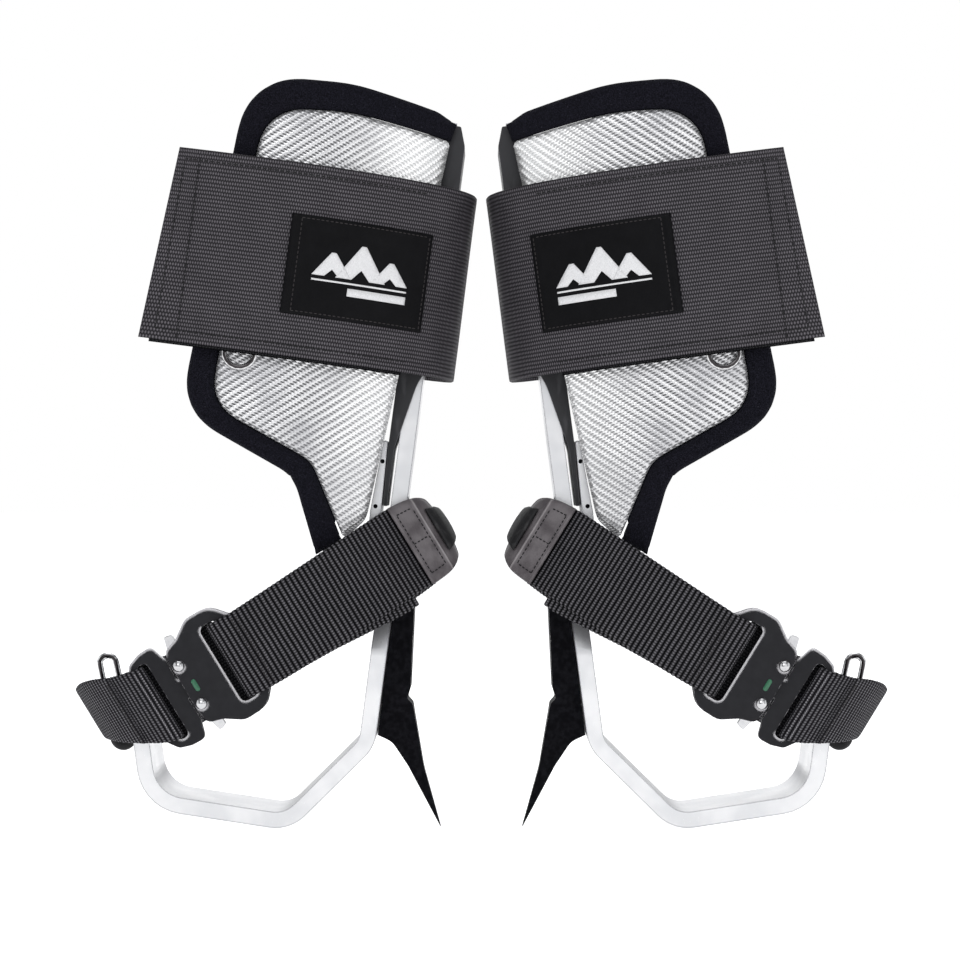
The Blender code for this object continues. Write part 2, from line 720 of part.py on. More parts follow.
def make_buckle_plates():
    for name, (low, high) in (("buckle_front_plate", FRONT_PLATE), ("buckle_back_plate", BACK_PLATE)):
        holes = [circle(RIVET_PLACE[0], side * RIVET_PLACE[1], 2.9) for side in (1, -1)]
        middle = sum(BUCKLE_SLOT) / 2
        holes.append(oblong(middle, 0.0, BUCKLE_SLOT[1] - middle, 22.0, 3.0, steps=3))
        plate = prism(name, rounded(mirrored(FRAME_HALF), steps=3), low, high, holes=holes)
        finish(plate, "black_anodised", ANKLE)


def make_buckle_rivets():
    front = -FRONT_PLATE[0] + GAP
    back = -BACK_PLATE[1] - GAP
    profile = [(0.0, front + 2.2), (1.6, front + 1.8), (2.7, front + 0.9), (3.1, front), (2.5, front)]
    profile += [(2.5, back), (3.1, back), (2.9, back - 0.8), (0.0, back - 1.2)]
    for name, side in (("upper", 1), ("lower", -1)):
        rivet = turned("buckle_rivet_" + name, profile, "y")
        rivet.data.transform(Matrix.Translation(Vector((RIVET_PLACE[0], 0.0, side * RIVET_PLACE[1])) * MM))
        finish(rivet, "bright_steel", ANKLE)


def make_buckle_latches():
    for name, side in (("upper", 1), ("lower", -1)):
        x, y = RIVET_PLACE
        corners = [
            (x - 3.9, y - 2.0, 1.5), (x + 0.5, y - 4.6, 3), (x + 9.0, y - 4.6, 1), (x + 9.6, y - 1.4, 1),
            (x + 4.6, y + 1.4, 3), (x + 4.9, 26.6, 1), (x + 0.9, 27.6, 1), (x - 2.0, y + 6.0, 3),
        ]
        if side < 0:
            corners = [(cx, -cy, radius) for cx, cy, radius in corners[::-1]]
        hole = circle(x, side * y, 2.9)
        latch = prism("buckle_latch_" + name, rounded(corners, steps=3), -54.4, -50.1, holes=[hole])
        finish(latch, "bright_steel", ANKLE, pivot=(x, 0.0, side * y))


def make_buckle_tongue():
    slot = oblong(-28.5, 0.0, 3.0, 21.6, 2.4, steps=3)
    tongue = prism("buckle_tongue", rounded(mirrored(TONGUE_HALF), steps=3), -53.9, -50.6, holes=[slot])
    return finish(tongue, "black_anodised", ANKLE)


def make_adjuster_bar():
    x, y = BAR_SPOT
    bar = wire("adjuster_bar", [(x, y, -24.4), (x, y, 24.4)], 1.6, cyclic=False)
    return finish(bar, "bright_steel", ANKLE)


# ---------------------------------------------------------------- outer ring


def make_outer_ring():
    radius = 4.4
    low, high = -15.5, 33.0
    points = []
    for level, start in ((high - radius, 0.0), (low + radius, math.pi)):
        for step in range(9):
            angle = start + math.pi * step / 8
            points.append((-radius + radius * math.cos(angle), 0.0, level + radius * math.sin(angle)))
    return finish(wire("outer_ring", points, 1.7), "bright_steel", EYE)


# ---------------------------------------------------------------- the pair


def make_right_spur():
    make_stirrup_shank()
    make_gaff()
    make_gaff_screws()
    make_cuff_carrier()
    make_carrier_bolts()
    make_cuff_bracket()
    make_cuff_shell()
    make_cuff_binding()
    make_cuff_pad()
    make_calf_strap()
    make_label_patch()
    make_strap_ring()
    make_ring_chape()
    make_ankle_straps()
    make_strap_guard()
    make_guard_pad()
    make_ankle_tail()
    make_buckle_plates()
    make_buckle_rivets()
    make_buckle_latches()
    make_buckle_tongue()
    make_adjuster_bar()
    make_outer_ring()


def make_left_spur():
    """Give every right piece a twin that shares its finished shape, mirrored in X = 0."""
    mirror = new_frame("left_spur", 0.0, 0.0, 0.0)
    mirror.scale = (-1.0, 1.0, 1.0)
    bpy.context.view_layer.update()
    graph = bpy.context.evaluated_depsgraph_get()
    for obj in [obj for obj in PARTS.objects if obj.type == "MESH"]:
        shape = bpy.data.meshes.new_from_object(obj.evaluated_get(graph))
        twin = mesh_object(obj.name.replace("right_", "left_", 1), shape)
        twin.parent = mirror
        twin.matrix_basis = obj.matrix_world


make_right_spur()
make_left_spur()
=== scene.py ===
"""The looks of a pair of arborist climbing spurs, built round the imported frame.

Every new piece is made for the right spur and then mirrored in X = 0 for the left one.
Lengths are millimetres in two leaning frames, CUFF and ANKLE, whose axes run across, back and up.
"""

import json
import math

import bmesh
import bpy
import numpy as np
from mathutils import Matrix, Vector
from mathutils.bvhtree import BVHTree
from mathutils.geometry import delaunay_2d_cdt


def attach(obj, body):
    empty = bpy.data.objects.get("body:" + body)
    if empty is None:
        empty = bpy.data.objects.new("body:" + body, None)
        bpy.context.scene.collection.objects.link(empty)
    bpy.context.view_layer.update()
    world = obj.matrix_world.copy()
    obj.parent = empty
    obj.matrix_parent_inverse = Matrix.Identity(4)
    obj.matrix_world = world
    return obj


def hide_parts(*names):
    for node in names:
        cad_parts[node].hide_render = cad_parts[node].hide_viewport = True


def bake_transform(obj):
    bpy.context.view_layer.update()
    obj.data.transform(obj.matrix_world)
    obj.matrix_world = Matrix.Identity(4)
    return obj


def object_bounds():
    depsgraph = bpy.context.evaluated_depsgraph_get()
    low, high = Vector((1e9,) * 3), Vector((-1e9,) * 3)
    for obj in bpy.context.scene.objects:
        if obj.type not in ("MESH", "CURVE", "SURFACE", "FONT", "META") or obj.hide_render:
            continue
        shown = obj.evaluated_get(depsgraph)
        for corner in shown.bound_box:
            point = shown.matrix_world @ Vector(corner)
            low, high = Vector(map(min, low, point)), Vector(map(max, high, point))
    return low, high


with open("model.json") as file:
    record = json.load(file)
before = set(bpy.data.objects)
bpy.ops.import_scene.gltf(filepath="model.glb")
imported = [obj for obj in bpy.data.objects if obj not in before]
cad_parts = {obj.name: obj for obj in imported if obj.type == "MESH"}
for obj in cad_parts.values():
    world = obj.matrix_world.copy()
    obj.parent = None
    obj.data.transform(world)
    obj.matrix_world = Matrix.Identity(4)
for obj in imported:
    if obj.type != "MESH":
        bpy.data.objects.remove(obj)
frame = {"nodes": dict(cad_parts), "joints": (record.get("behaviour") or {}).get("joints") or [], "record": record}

CAD_BOX = [list(corner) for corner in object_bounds()]
MM = 0.001
SKIP = 0.2  # how far past a face the next ray starts
WELD = 0.002  # CAD points closer than this are one
JOINTS = {joint["name"]: joint for joint in frame["joints"]}
SCENE = bpy.context.scene


# ---------------------------------------------------------------- frames


class Axes:
    """A leaning frame in millimetres whose axes run across, back and up."""

    def __init__(self, place, local, up):
        self.up = Vector(up).normalized()
        self.back = Vector((0.0, 1.0, 0.0))
        self.across = self.back.cross(self.up)
        self.basis = Matrix((self.across, self.back, self.up)).transposed()
        self.origin = Vector(place) - self.basis @ Vector(local) * MM

    def world(self, point):
        return self.origin + self.basis @ Vector(point) * MM

    def local(self, point):
        return self.basis.transposed() @ (Vector(point) - self.origin) / MM


HINGE = JOINTS["right_calf_strap_open"]
CUFF = Axes(HINGE["pos_m"], (7.0, -28.0, 184.75), HINGE["axis"])
RIVETS = [Vector(JOINTS[f"right_latch_{name}_press"]["pos_m"]) for name in ("upper", "lower")]
ANKLE = Axes(sum(RIVETS, Vector()) / 2, (-11.8, -52.25, 0.0), RIVETS[0] - RIVETS[1])
SWING = JOINTS["right_outer_ring_swing"]
EYE = Axes(SWING["pos_m"], (0.0, 0.0, 0.0), SWING["axis"])


def local_mesh(node, axes):
    """A welded copy of a CAD node's mesh, in millimetres of a frame."""
    build = bmesh.new()
    build.from_mesh(frame["nodes"][node].data)
    for vertex in build.verts:
        vertex.co = axes.local(vertex.co)
    bmesh.ops.remove_doubles(build, verts=build.verts, dist=WELD)
    bmesh.ops.recalc_face_normals(build, faces=build.faces)
    build.normal_update()
    return build


def local_box(node, axes):
    points = np.array([axes.local(vertex.co) for vertex in frame["nodes"][node].data.vertices])
    return points.min(0), points.max(0)


def trace(node, axes, *fans, level=None):
    """Stations of (x, y, lower edge, upper edge) along a bent strip.

    Rays from each fan's centre find the strip's two faces. A fan is (x, y, first angle, last angle, count).
    """
    build = local_mesh(node, axes)
    tree = BVHTree.FromBMesh(build)
    build.free()
    low, high = local_box(node, axes)
    level = (low[2] + high[2]) / 2 if level is None else level
    stations = []
    for x, y, first, last, count in fans:
        for angle in np.radians(np.linspace(first, last, count)):
            ray = Vector((math.cos(angle), math.sin(angle), 0.0))
            near = tree.ray_cast(Vector((x, y, level)), ray)[0]
            far = near and tree.ray_cast(near + ray * SKIP, ray)[0]
            if not far:
                continue
            middle = (near + far) / 2
            bottom, top = (tree.ray_cast(middle, Vector((0, 0, way)))[0] for way in (-1, 1))
            if bottom and top:
                stations.append((middle.x, middle.y, bottom.z, top.z))
    return np.array(stations)


def softened(stations, reach=2):
    """Stations with the facets of the CAD smoothed out. The ends stay."""
    made = stations.copy()
    count = len(stations)
    for i in range(1, count - 1):
        near = min(reach, i, count - 1 - i)
        made[i] = stations[i - near:i + near + 1].mean(0)
    return made


class Strip:
    """A bent strip's middle line, by the distance along it."""

    def __init__(self, stations):
        self.rows = np.array(stations)
        steps = np.hypot(*np.diff(self.rows[:, :2], axis=0).T)
        self.at = np.concatenate([[0.0], np.cumsum(steps)])
        self.length = self.at[-1]

    def sample(self, along):
        return np.array([np.interp(along, self.at, self.rows[:, k]) for k in range(4)]).T

    def normals(self, along):
        """Directions away from the leg, square to the middle line."""
        reach = 1.5
        ahead = self.sample(np.clip(along + reach, 0, self.length))[:, :2]
        behind = self.sample(np.clip(along - reach, 0, self.length))[:, :2]
        run = ahead - behind
        run /= np.linalg.norm(run, axis=1)[:, None]
        return np.stack([run[:, 1], -run[:, 0]], 1)

    def point(self, along, share, offset=0.0):
        """A point at a distance along, a share of the width up and an offset off the middle."""
        x, y, low, high = self.sample(np.array([along]))[0]
        out = self.normals(np.array([along]))[0] * offset
        return Vector((x + out[0], y + out[1], low + (high - low) * share))


def traced(node, axes, *fans, reach=2, level=None):
    """The strip through a CAD strap, its facets smoothed out."""
    return Strip(softened(trace(node, axes, *fans, level=level), reach))


# ---------------------------------------------------------------- materials


class Nodes:
    """Short calls for building a node tree."""

    def __init__(self, tree):
        self.tree = tree

    def put(self, socket, value):
        if isinstance(value, bpy.types.NodeSocket):
            self.tree.links.new(value, socket)
        else:
            socket.default_value = value

    def node(self, kind, *values, **settings):
        made = self.tree.nodes.new("ShaderNode" + kind)
        for name, value in settings.items():
            setattr(made, name, value)
        for i, value in enumerate(values):
            if value is not None:
                self.put(made.inputs[i], value)
        return made

    def math(self, operation, *values):
        return self.node("Math", *values, operation=operation).outputs[0]

    def times(self, *values):
        return self.math("MULTIPLY", *values)

    def plus(self, *values):
        return self.math("ADD", *values)

    def line(self, value, gain, base):
        """The value times a gain, plus a base."""
        return self.math("MULTIPLY_ADD", value, gain, base)

    def step(self, value, low, high, first=0.0, last=1.0):
        """The first value below low and the last above high, smoothly between."""
        made = self.node("MapRange", value, low, high, first, last, interpolation_type="SMOOTHSTEP")
        return made.outputs[0]


class Look(Nodes):
    """A node material. Lengths given to it are millimetres."""

    def __init__(self, name, **values):
        self.material = bpy.data.materials.new(name)
        self.material.use_nodes = True
        super().__init__(self.material.node_tree)
        self.shader = self.tree.nodes["Principled BSDF"]
        self.set(**values)

    def set(self, **values):
        for name, value in values.items():
            self.put(self.shader.inputs[name.replace("_", " ").title().replace("Ior", "IOR")], value)

    def mix(self, share, low, high):
        made = self.node("Mix", data_type="RGBA")
        for index, value in ((0, share), (6, low), (7, high)):
            self.put(made.inputs[index], (*value, 1.0) if isinstance(value, tuple) else value)
        return made.outputs[2]

    def blend(self, share, low, high):
        made = self.node("Mix", data_type="FLOAT")
        for index, value in ((0, share), (2, low), (3, high)):
            self.put(made.inputs[index], value)
        return made.outputs[0]

    def strip(self):
        """(along, across) in millimetres from a piece's own map."""
        spread = self.node("SeparateXYZ", self.node("UVMap").outputs[0])
        return spread.outputs[0], spread.outputs[1]

    def place(self, stretch=(1.0, 1.0, 1.0)):
        """The position in millimetres, the same on both spurs."""
        here = self.node("TexCoord").outputs["Object"]
        folded = self.node("VectorMath", here, operation="ABSOLUTE").outputs[0]
        both = self.node("SeparateXYZ", here)
        fold = self.node("SeparateXYZ", folded)
        joined = self.node("CombineXYZ", fold.outputs[0], both.outputs[1], both.outputs[2])
        scale = tuple(value / MM for value in stretch)
        return self.node("VectorMath", joined.outputs[0], scale, operation="MULTIPLY").outputs[0]

    def noise(self, size, detail=2.0, where=None):
        """Soft noise with features of a size in millimetres."""
        where = where or self.place()
        return self.node("TexNoise", where, None, 1.0 / size, detail).outputs[0]

    def wave(self, value, pitch):
        """0 to 1 and back once in every pitch."""
        turn = self.times(value, math.tau / pitch)
        return self.line(self.math("COSINE", turn), -0.5, 0.5)

    def bump(self, height, depth):
        """Raises the surface by height times a depth in millimetres."""
        made = self.node("Bump")
        for name, value in (("Strength", 1.0), ("Distance", depth * MM), ("Height", height)):
            self.put(made.inputs[name], value)
        self.put(self.shader.inputs["Normal"], made.outputs[0])

    def facing(self, way, size=2.4):
        """How far a rounded normal of the right spur, or of its mirror image, leans towards a direction."""
        here = self.node("SeparateXYZ", self.node("TexCoord").outputs["Object"]).outputs[0]
        side = self.times(self.math("SIGN", here), -1.0)
        x, y, z = self.node("SeparateXYZ", self.node("Bevel", size * MM, samples=6).outputs[0]).outputs
        return self.dot(self.node("CombineXYZ", self.times(x, side), y, z).outputs[0], tuple(way))

    def dot(self, one, other):
        return self.node("VectorMath", one, other, operation="DOT_PRODUCT").outputs["Value"]

    def along(self, axes):
        """The first coordinate in a frame of the right spur, the same on the left one."""
        way = (-axes.across.x, axes.across.y, axes.across.z)
        return self.math("SUBTRACT", self.dot(self.place(), way), axes.across.dot(axes.origin) / MM)

    def edge_wear_and_shade(self, size):
        """1 on sharp edges and 0 on flat faces, where the bevelled and the true normal agree. It marks real edge
        wear, and painted dark edge lines on polished metal.
        """
        bevel = self.node("Bevel", size * MM, samples=4)
        plain = self.node("NewGeometry").outputs["Normal"]
        return self.step(self.dot(bevel.outputs[0], plain), 0.99, 0.93)


def make_aluminium():
    """Bright brushed bar, the grain running round the bar from front to back."""
    look = Look("brushed_aluminium", metallic=1.0)
    grain = look.noise(0.55, 4.0, look.place((1.0, 0.04, 1.0)))
    cloud = look.noise(18.0)
    scratch = look.step(look.noise(0.35, 3.0, look.place((0.12, 1.0, 0.12))), 0.66, 0.74)
    colour = look.mix(look.step(cloud, 0.35, 0.7), (0.66, 0.665, 0.68), (0.76, 0.76, 0.77))
    # painted shade: dark lines on the bar's sharp edges stand in for the dark reflection there
    edge = look.edge_wear_and_shade(1.1)
    colour = look.mix(look.times(edge, 0.85), colour, (0.13, 0.13, 0.15))
    look.set(base_color=colour, roughness=look.blend(grain, 0.22, 0.42))
    look.bump(look.line(scratch, -0.4, grain), 0.03)
    return look.material


def make_gaff_steel():
    look = Look("blackened_steel")
    mottle = look.noise(3.0, 5.0)
    chip = look.times(look.edge_wear_and_shade(0.5), look.step(look.noise(2.4, 4.0), 0.62, 0.70))
    colour = look.mix(look.step(mottle, 0.35, 0.7), (0.002, 0.002, 0.003), (0.007, 0.007, 0.009))
    look.set(
        base_color=look.mix(chip, colour, (0.34, 0.33, 0.32)),
        metallic=look.blend(chip, 0.0, 0.9),
        roughness=look.blend(mottle, 0.34, 0.56),
        specular_ior_level=0.03,
    )
    look.bump(mottle, 0.05)
    return look.material


def make_bright_steel():
    look = Look("polished_steel", metallic=1.0)
    smear = look.noise(4.0, 3.0)
    turned = look.noise(0.4, 2.0, look.place((1.0, 0.1, 1.0)))
    colour = look.mix(smear, (0.46, 0.46, 0.48), (0.66, 0.66, 0.66))
    # painted shade: dark lines on the sharp edges stand in for the dark reflection there
    colour = look.mix(look.edge_wear_and_shade(0.3), colour, (0.16, 0.16, 0.17))
    look.set(base_color=colour, roughness=look.blend(smear, 0.08, 0.24))
    look.bump(turned, 0.008)
    return look.material


def make_wire_steel():
    """Round polished wire with bright edges, and a painted dark reflection in its colour where it faces forward.
    """
    look = Look("polished_wire", metallic=1.0)
    smear = look.noise(3.0, 3.0)
    # painted reflection: dark where the wire faces forward, as if it mirrored the dark front of the room
    painted_dark_reflection = look.step(look.facing((0.0, -1.0, 0.0), 0.1), 0.80, 0.93)
    colour = look.mix(smear, (0.66, 0.66, 0.67), (0.88, 0.88, 0.88))
    look.set(base_color=look.mix(painted_dark_reflection, colour, (0.05, 0.046, 0.048)), roughness=look.blend(smear, 0.10, 0.24))
    look.bump(look.noise(0.4), 0.006)
    return look.material


def make_carrier_plastic():
    look = Look("satin_black_moulding")
    grain = look.noise(0.5, 3.0)
    scuff = look.step(look.noise(7.0, 4.0, look.place((1.0, 1.0, 0.3))), 0.55, 0.72)
    colour = look.mix(scuff, (0.020, 0.020, 0.023), (0.045, 0.045, 0.050))
    look.set(
        base_color=look.mix(look.times(look.edge_wear_and_shade(0.6), 0.6), colour, (0.16, 0.16, 0.17)),
        roughness=look.blend(grain, 0.36, 0.52),
        specular_ior_level=0.3,
    )
    look.bump(grain, 0.03)
    return look.material


def make_anodised():
    """Black plate faces. The sawn edges' bright metal is painted only on faces that look up, and beside the slot
    on faces that look across, as a painted highlight. Rubbed edges show real wear.
    """
    look = Look("black_anodised_plate")
    # painted highlight: bright metal on the edge faces that look up, and beside the slot on the faces that look
    # across
    painted_top_highlight = look.step(look.facing(ANKLE.up), 0.10, 0.26)
    along = look.step(look.facing(ANKLE.across), 0.10, 0.26)
    level = look.along(ANKLE)
    beside_slot = look.times(look.step(level, 4.4, 5.2), look.step(level, 9.0, 8.0))
    rim = look.math("MAXIMUM", painted_top_highlight, look.times(beside_slot, along))
    cloud = look.noise(5.0, 4.0)
    fine = look.noise(0.35, 2.0, look.place((1.0, 1.0, 0.25)))
    rub = look.times(look.edge_wear_and_shade(0.5), look.step(look.noise(3.0, 3.0), 0.45, 0.6))
    face = look.mix(cloud, (0.009, 0.009, 0.011), (0.019, 0.019, 0.022))
    side = look.mix(fine, (0.45, 0.44, 0.46), (0.75, 0.74, 0.76))
    # the bright metal mixes the painted highlight with real wear on rubbed edges
    share = look.math("MAXIMUM", rim, look.times(rub, 0.5))
    look.set(base_color=look.mix(share, face, side), metallic=look.blend(share, 0.0, 1.0),
             roughness=look.blend(cloud, 0.34, 0.5), specular_ior_level=0.14)
    look.bump(fine, 0.012)
    return look.material


TWILL_LEAN = math.radians(39.0)
TWILL_ROW = 3.35
TWILL_CELL = 1.8


def make_weave():
    """Silver and black twill under clear resin."""
    look = Look("silver_twill")
    along, across = look.strip()
    drift = look.line(look.noise(14.0), 0.9, -0.45)
    rise, run = math.sin(TWILL_LEAN), math.cos(TWILL_LEAN)
    rows = look.plus(look.plus(look.times(along, -rise), look.times(across, run)), drift)
    cells = look.line(rows, 0.55, look.plus(look.times(along, run), look.times(across, rise)))
    band = look.wave(rows, TWILL_ROW)
    grain = look.wave(cells, TWILL_CELL)
    valley = look.step(band, 0.52, 0.02)
    dash = look.times(look.step(grain, 0.62, 0.28), look.step(band, 0.86, 0.30))
    dark = look.math("MAXIMUM", look.times(valley, 0.45), dash)
    # painted highlight: whiter, with fewer dark marks, towards the shank side and the top of the shell
    glare = look.times(look.step(along, 42.0, 92.0), look.step(across, -60.0, 230.0))
    dark = look.times(dark, look.line(glare, -0.55, 1.0))
    cloud = look.step(look.noise(26.0, 3.0), 0.35, 0.7)
    bright = look.mix(glare, look.mix(cloud, (0.46, 0.46, 0.475), (0.70, 0.70, 0.71)), (0.98, 0.98, 0.98))
    shade = look.mix(cloud, (0.13, 0.13, 0.14), (0.045, 0.045, 0.05))
    height = look.plus(look.times(band, 0.6), look.times(look.times(grain, band), 0.6))
    look.set(base_color=look.mix(dark, bright, shade), metallic=look.blend(dark, 0.75, 0.2),
             roughness=look.blend(dark, 0.27, 0.4), coat_weight=0.35, coat_roughness=0.12)
    look.bump(height, 0.22)
    return look.material


def make_loop_tape():
    """Fuzzy loop tape: short tangled pile, nearly black with a blue cast."""
    look = Look("loop_pile", roughness=0.95)
    fuzz = look.noise(0.55, 6.0)
    clump = look.noise(2.2, 3.0)
    lint = look.step(look.noise(0.9, 1.0), 0.745, 0.80)
    colour = look.mix(look.step(fuzz, 0.35, 0.75), (0.0015, 0.0015, 0.003), (0.013, 0.0125, 0.020))
    look.set(base_color=look.mix(look.times(lint, 0.35), colour, (0.10, 0.10, 0.12)), specular_ior_level=0.1,
             sheen_weight=0.02, sheen_roughness=0.6, sheen_tint=(0.35, 0.36, 0.48, 1.0))
    look.bump(look.plus(fuzz, look.times(clump, 0.6)), 0.45)
    return look.material


def make_liner():
    """The pad's navy knitted cover."""
    look = Look("navy_liner", roughness=0.85)
    x, _, z = look.node("SeparateXYZ", look.place()).outputs
    knit = look.times(look.wave(x, 1.5), look.wave(z, 1.5))
    cloud = look.noise(9.0, 3.0)
    look.set(base_color=look.mix(look.blend(0.5, knit, cloud), (0.003, 0.0035, 0.008), (0.013, 0.015, 0.028)),
             sheen_weight=0.08, sheen_roughness=0.5, sheen_tint=(0.3, 0.33, 0.5, 1.0), specular_ior_level=0.1)
    look.bump(look.plus(knit, look.noise(0.6)), 0.18)
    return look.material


def make_ribbed(name, pitch, cell, base, light, depth, run_along=False,
                sharp=1.5, rib_share=1.0, bead_share=0.65):
    """Nylon webbing. Ribs run along the strip or across it, each of them beaded by the weft. The colour carries
    painted highlight on the crests and painted shade between them.
    """
    look = Look(name)
    along, across = look.strip()
    rib, bead = (across, along) if run_along else (along, across)
    rib = look.plus(rib, look.line(look.noise(11.0), 0.5, -0.25))
    ridge = look.wave(rib, pitch)
    row = look.math("FLOOR", look.math("DIVIDE", rib, pitch))
    beads = look.wave(look.line(row, cell / 2, bead), cell)
    height = look.times(look.line(ridge, rib_share, 1 - rib_share),
                       look.line(beads, bead_share, 1 - bead_share))
    # painted highlight and shade: the colour runs from base in the valleys to light on the rib and bead crests
    shade = look.times(look.math("POWER", height, sharp), look.blend(look.noise(14.0, 4.0), 0.7, 1.25))
    fibre = look.noise(0.3)
    look.set(base_color=look.mix(shade, base, light), roughness=look.blend(beads, 0.65, 0.45),
             specular_ior_level=look.blend(height, 0.02, 0.2))
    look.bump(look.line(fibre, 0.15, height), depth)
    return look.material


def make_satin_label():
    look = Look("satin_label")
    along, across = look.strip()
    weave = look.times(look.wave(along, 0.7), look.wave(across, 0.7))
    cloud = look.noise(7.0, 3.0)
    look.set(base_color=look.mix(cloud, (0.0015, 0.0015, 0.002), (0.005, 0.005, 0.006)),
             roughness=look.blend(weave, 0.3, 0.5), specular_ior_level=0.07)
    look.bump(look.plus(weave, cloud), 0.06)
    return look.material


def make_thread(name, colour):
    look = Look(name, roughness=0.6)
    twist = look.noise(0.35)
    dark, light = (tuple(gain * value for value in colour) for gain in (0.6, 1.5))
    look.set(base_color=look.mix(twist, dark, light), specular_ior_level=0.3)
    look.bump(twist, 0.08)
    return look.material


def make_leather(ridges):
    """Oiled leather, with a painted highlight along its pressed ridges."""
    look = Look("oiled_leather")
    along = look.strip()[0]
    pebble = look.node("TexVoronoi", look.place(), None, 1.0 / 0.9, feature="SMOOTH_F1").outputs[0]
    crease = look.noise(5.0, 5.0, look.place((1.0, 1.0, 0.4)))
    cloud = look.noise(10.0, 4.0)
    colour = look.mix(look.step(cloud, 0.3, 0.7), (0.074, 0.065, 0.070), (0.138, 0.126, 0.132))
    # painted highlight: pale along each pressed ridge
    for ridge in ridges:
        near = look.step(look.math("ABSOLUTE", look.math("SUBTRACT", along, ridge)), 0.9, 0.25)
        colour = look.mix(look.times(near, look.blend(cloud, 0.4, 1.0)), colour, (0.30, 0.28, 0.285))
    look.set(base_color=colour, roughness=look.blend(crease, 0.38, 0.62), specular_ior_level=0.3)
    look.bump(look.plus(look.times(pebble, 0.5), crease), 0.16)
    return look.material


def make_rubber():
    look = Look("black_rubber")
    grain = look.noise(0.5, 3.0)
    dust = look.step(look.noise(4.0, 4.0), 0.5, 0.75)
    look.set(base_color=look.mix(dust, (0.013, 0.013, 0.014), (0.035, 0.034, 0.035)),
             roughness=look.blend(grain, 0.5, 0.72), specular_ior_level=0.2)
    look.bump(grain, 0.05)
    return look.material


def make_indicator():
    look = Look("green_indicator", roughness=0.3)
    streak = look.noise(0.8)
    look.set(base_color=look.mix(streak, (0.0, 0.055, 0.022), (0.006, 0.15, 0.062)), coat_weight=0.4)
    return look.material


RIB_PITCH = 2.65
RIB_DEPTH = 0.36
TAIL_PITCH = 2.2
TAIL_DEPTH = 0.26
BLACK = (0.004, 0.004, 0.005)

LOOKS = {
    "aluminium": make_aluminium(),
    "black_steel": make_gaff_steel(),
    "bright_steel": make_bright_steel(),
    "wire_steel": make_wire_steel(),
    "dark_plastic": make_carrier_plastic(),
    "black_anodised": make_anodised(),
    "silver_weave": make_weave(),
    "loop_tape": make_loop_tape(),
    "liner": make_liner(),
    # The last colour given to each webbing is its painted highlight on the rib and bead crests.
    "calf_webbing": make_ribbed("calf_webbing", 2.0, 1.3, BLACK, (0.140, 0.130, 0.145), 0.2,
                                run_along=True, sharp=1.4, rib_share=0.65, bead_share=0.75),
    "backing": make_ribbed("hook_backing", 1.6, 1.6, (0.002, 0.002, 0.003), (0.012, 0.012, 0.014), 0.3,
                           run_along=True),
    "ankle_webbing": make_ribbed("ankle_webbing", RIB_PITCH, 1.35,
                                 (0.0015, 0.0015, 0.002), (0.165, 0.16, 0.175), 0.5),
    "fine_webbing": make_ribbed("tail_webbing", TAIL_PITCH, 1.4, BLACK, (0.16, 0.155, 0.17), 0.34),
    "label": make_satin_label(),
    "black_thread": make_thread("black_thread", (0.006, 0.006, 0.007)),
    "grey_thread": make_thread("grey_thread", (0.022, 0.019, 0.020)),
    "pale_thread": make_thread("pale_thread", (0.30, 0.29, 0.31)),
    "white_thread": make_thread("white_thread", (0.62, 0.62, 0.63)),
    "rubber": make_rubber(),
    "indicator": make_indicator(),
}


# ---------------------------------------------------------------- pieces

MADE = []


def add_piece(name, mesh, look, slot, body, stands_for=(), bend=None):
    """A finished piece of the right spur. It rides on one body; a piece given a bend gets no body, and its
    transform is baked in.
    """
    obj = bpy.data.objects.new("right_" + name, mesh)
    SCENE.collection.objects.link(obj)
    mesh.materials.clear()
    mesh.materials.append(LOOKS[look])
    for polygon in mesh.polygons:
        polygon.use_smooth = True
    MADE.append((obj, slot, body, stands_for, bend))
    return obj


def join_frame(obj, side, body, stands_for, bend):
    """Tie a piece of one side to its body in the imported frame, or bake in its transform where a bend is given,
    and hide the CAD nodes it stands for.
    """
    if bend:
        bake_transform(obj)
    else:
        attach(obj, side + body)
    for node in stands_for:
        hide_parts(side + node)


def flipped(point):
    return Vector((-point[0], point[1], point[2]))


def mirror_pieces():
    """Tie every right piece to the frame and give it a mirrored twin."""
    for obj, slot, body, stands_for, bend in MADE:
        mesh = obj.data.copy()
        mesh.transform(Matrix.Diagonal((-1.0, 1.0, 1.0, 1.0)))
        mesh.flip_normals()
        twin = bpy.data.objects.new(obj.name.replace("right_", "left_", 1), mesh)
        SCENE.collection.objects.link(twin)
        join_frame(obj, "right_", body, stands_for, bend)
        if bend:
            bend = (bend[0], bend[1], flipped(bend[2]), flipped(bend[3]))
        join_frame(twin, "left_", body, stands_for, bend)


def tube_faces(rows, sides, base=0):
    """The two end caps and the wall of a tube whose points run round each of its rows."""
    last = base + (rows - 1) * sides
    faces = [tuple(range(base, base + sides)), tuple(range(last, last + sides))]
    for i in range(rows - 1):
        for k in range(sides):
            here = base + i * sides + k
            ahead = base + i * sides + (k + 1) % sides
            faces.append((here, ahead, ahead + sides, here + sides))
    return faces


def sheet_faces(faces, count, base=0):
    """A closed sheet's front, its back, whose points come count later, and the wall round its rim."""
    edges = [pair for face in faces for pair in zip(face, face[1:] + face[:1])]
    uses = {}
    for edge in edges:
        uses[frozenset(edge)] = uses.get(frozenset(edge), 0) + 1
    front = [tuple(base + i for i in face) for face in faces]
    back = [tuple(base + count + i for i in face[::-1]) for face in faces]
    rim = [(base + a, base + b) for a, b in edges if uses[frozenset((a, b))] == 1]
    return front + back + [(b, a, count + a, count + b) for a, b in rim]


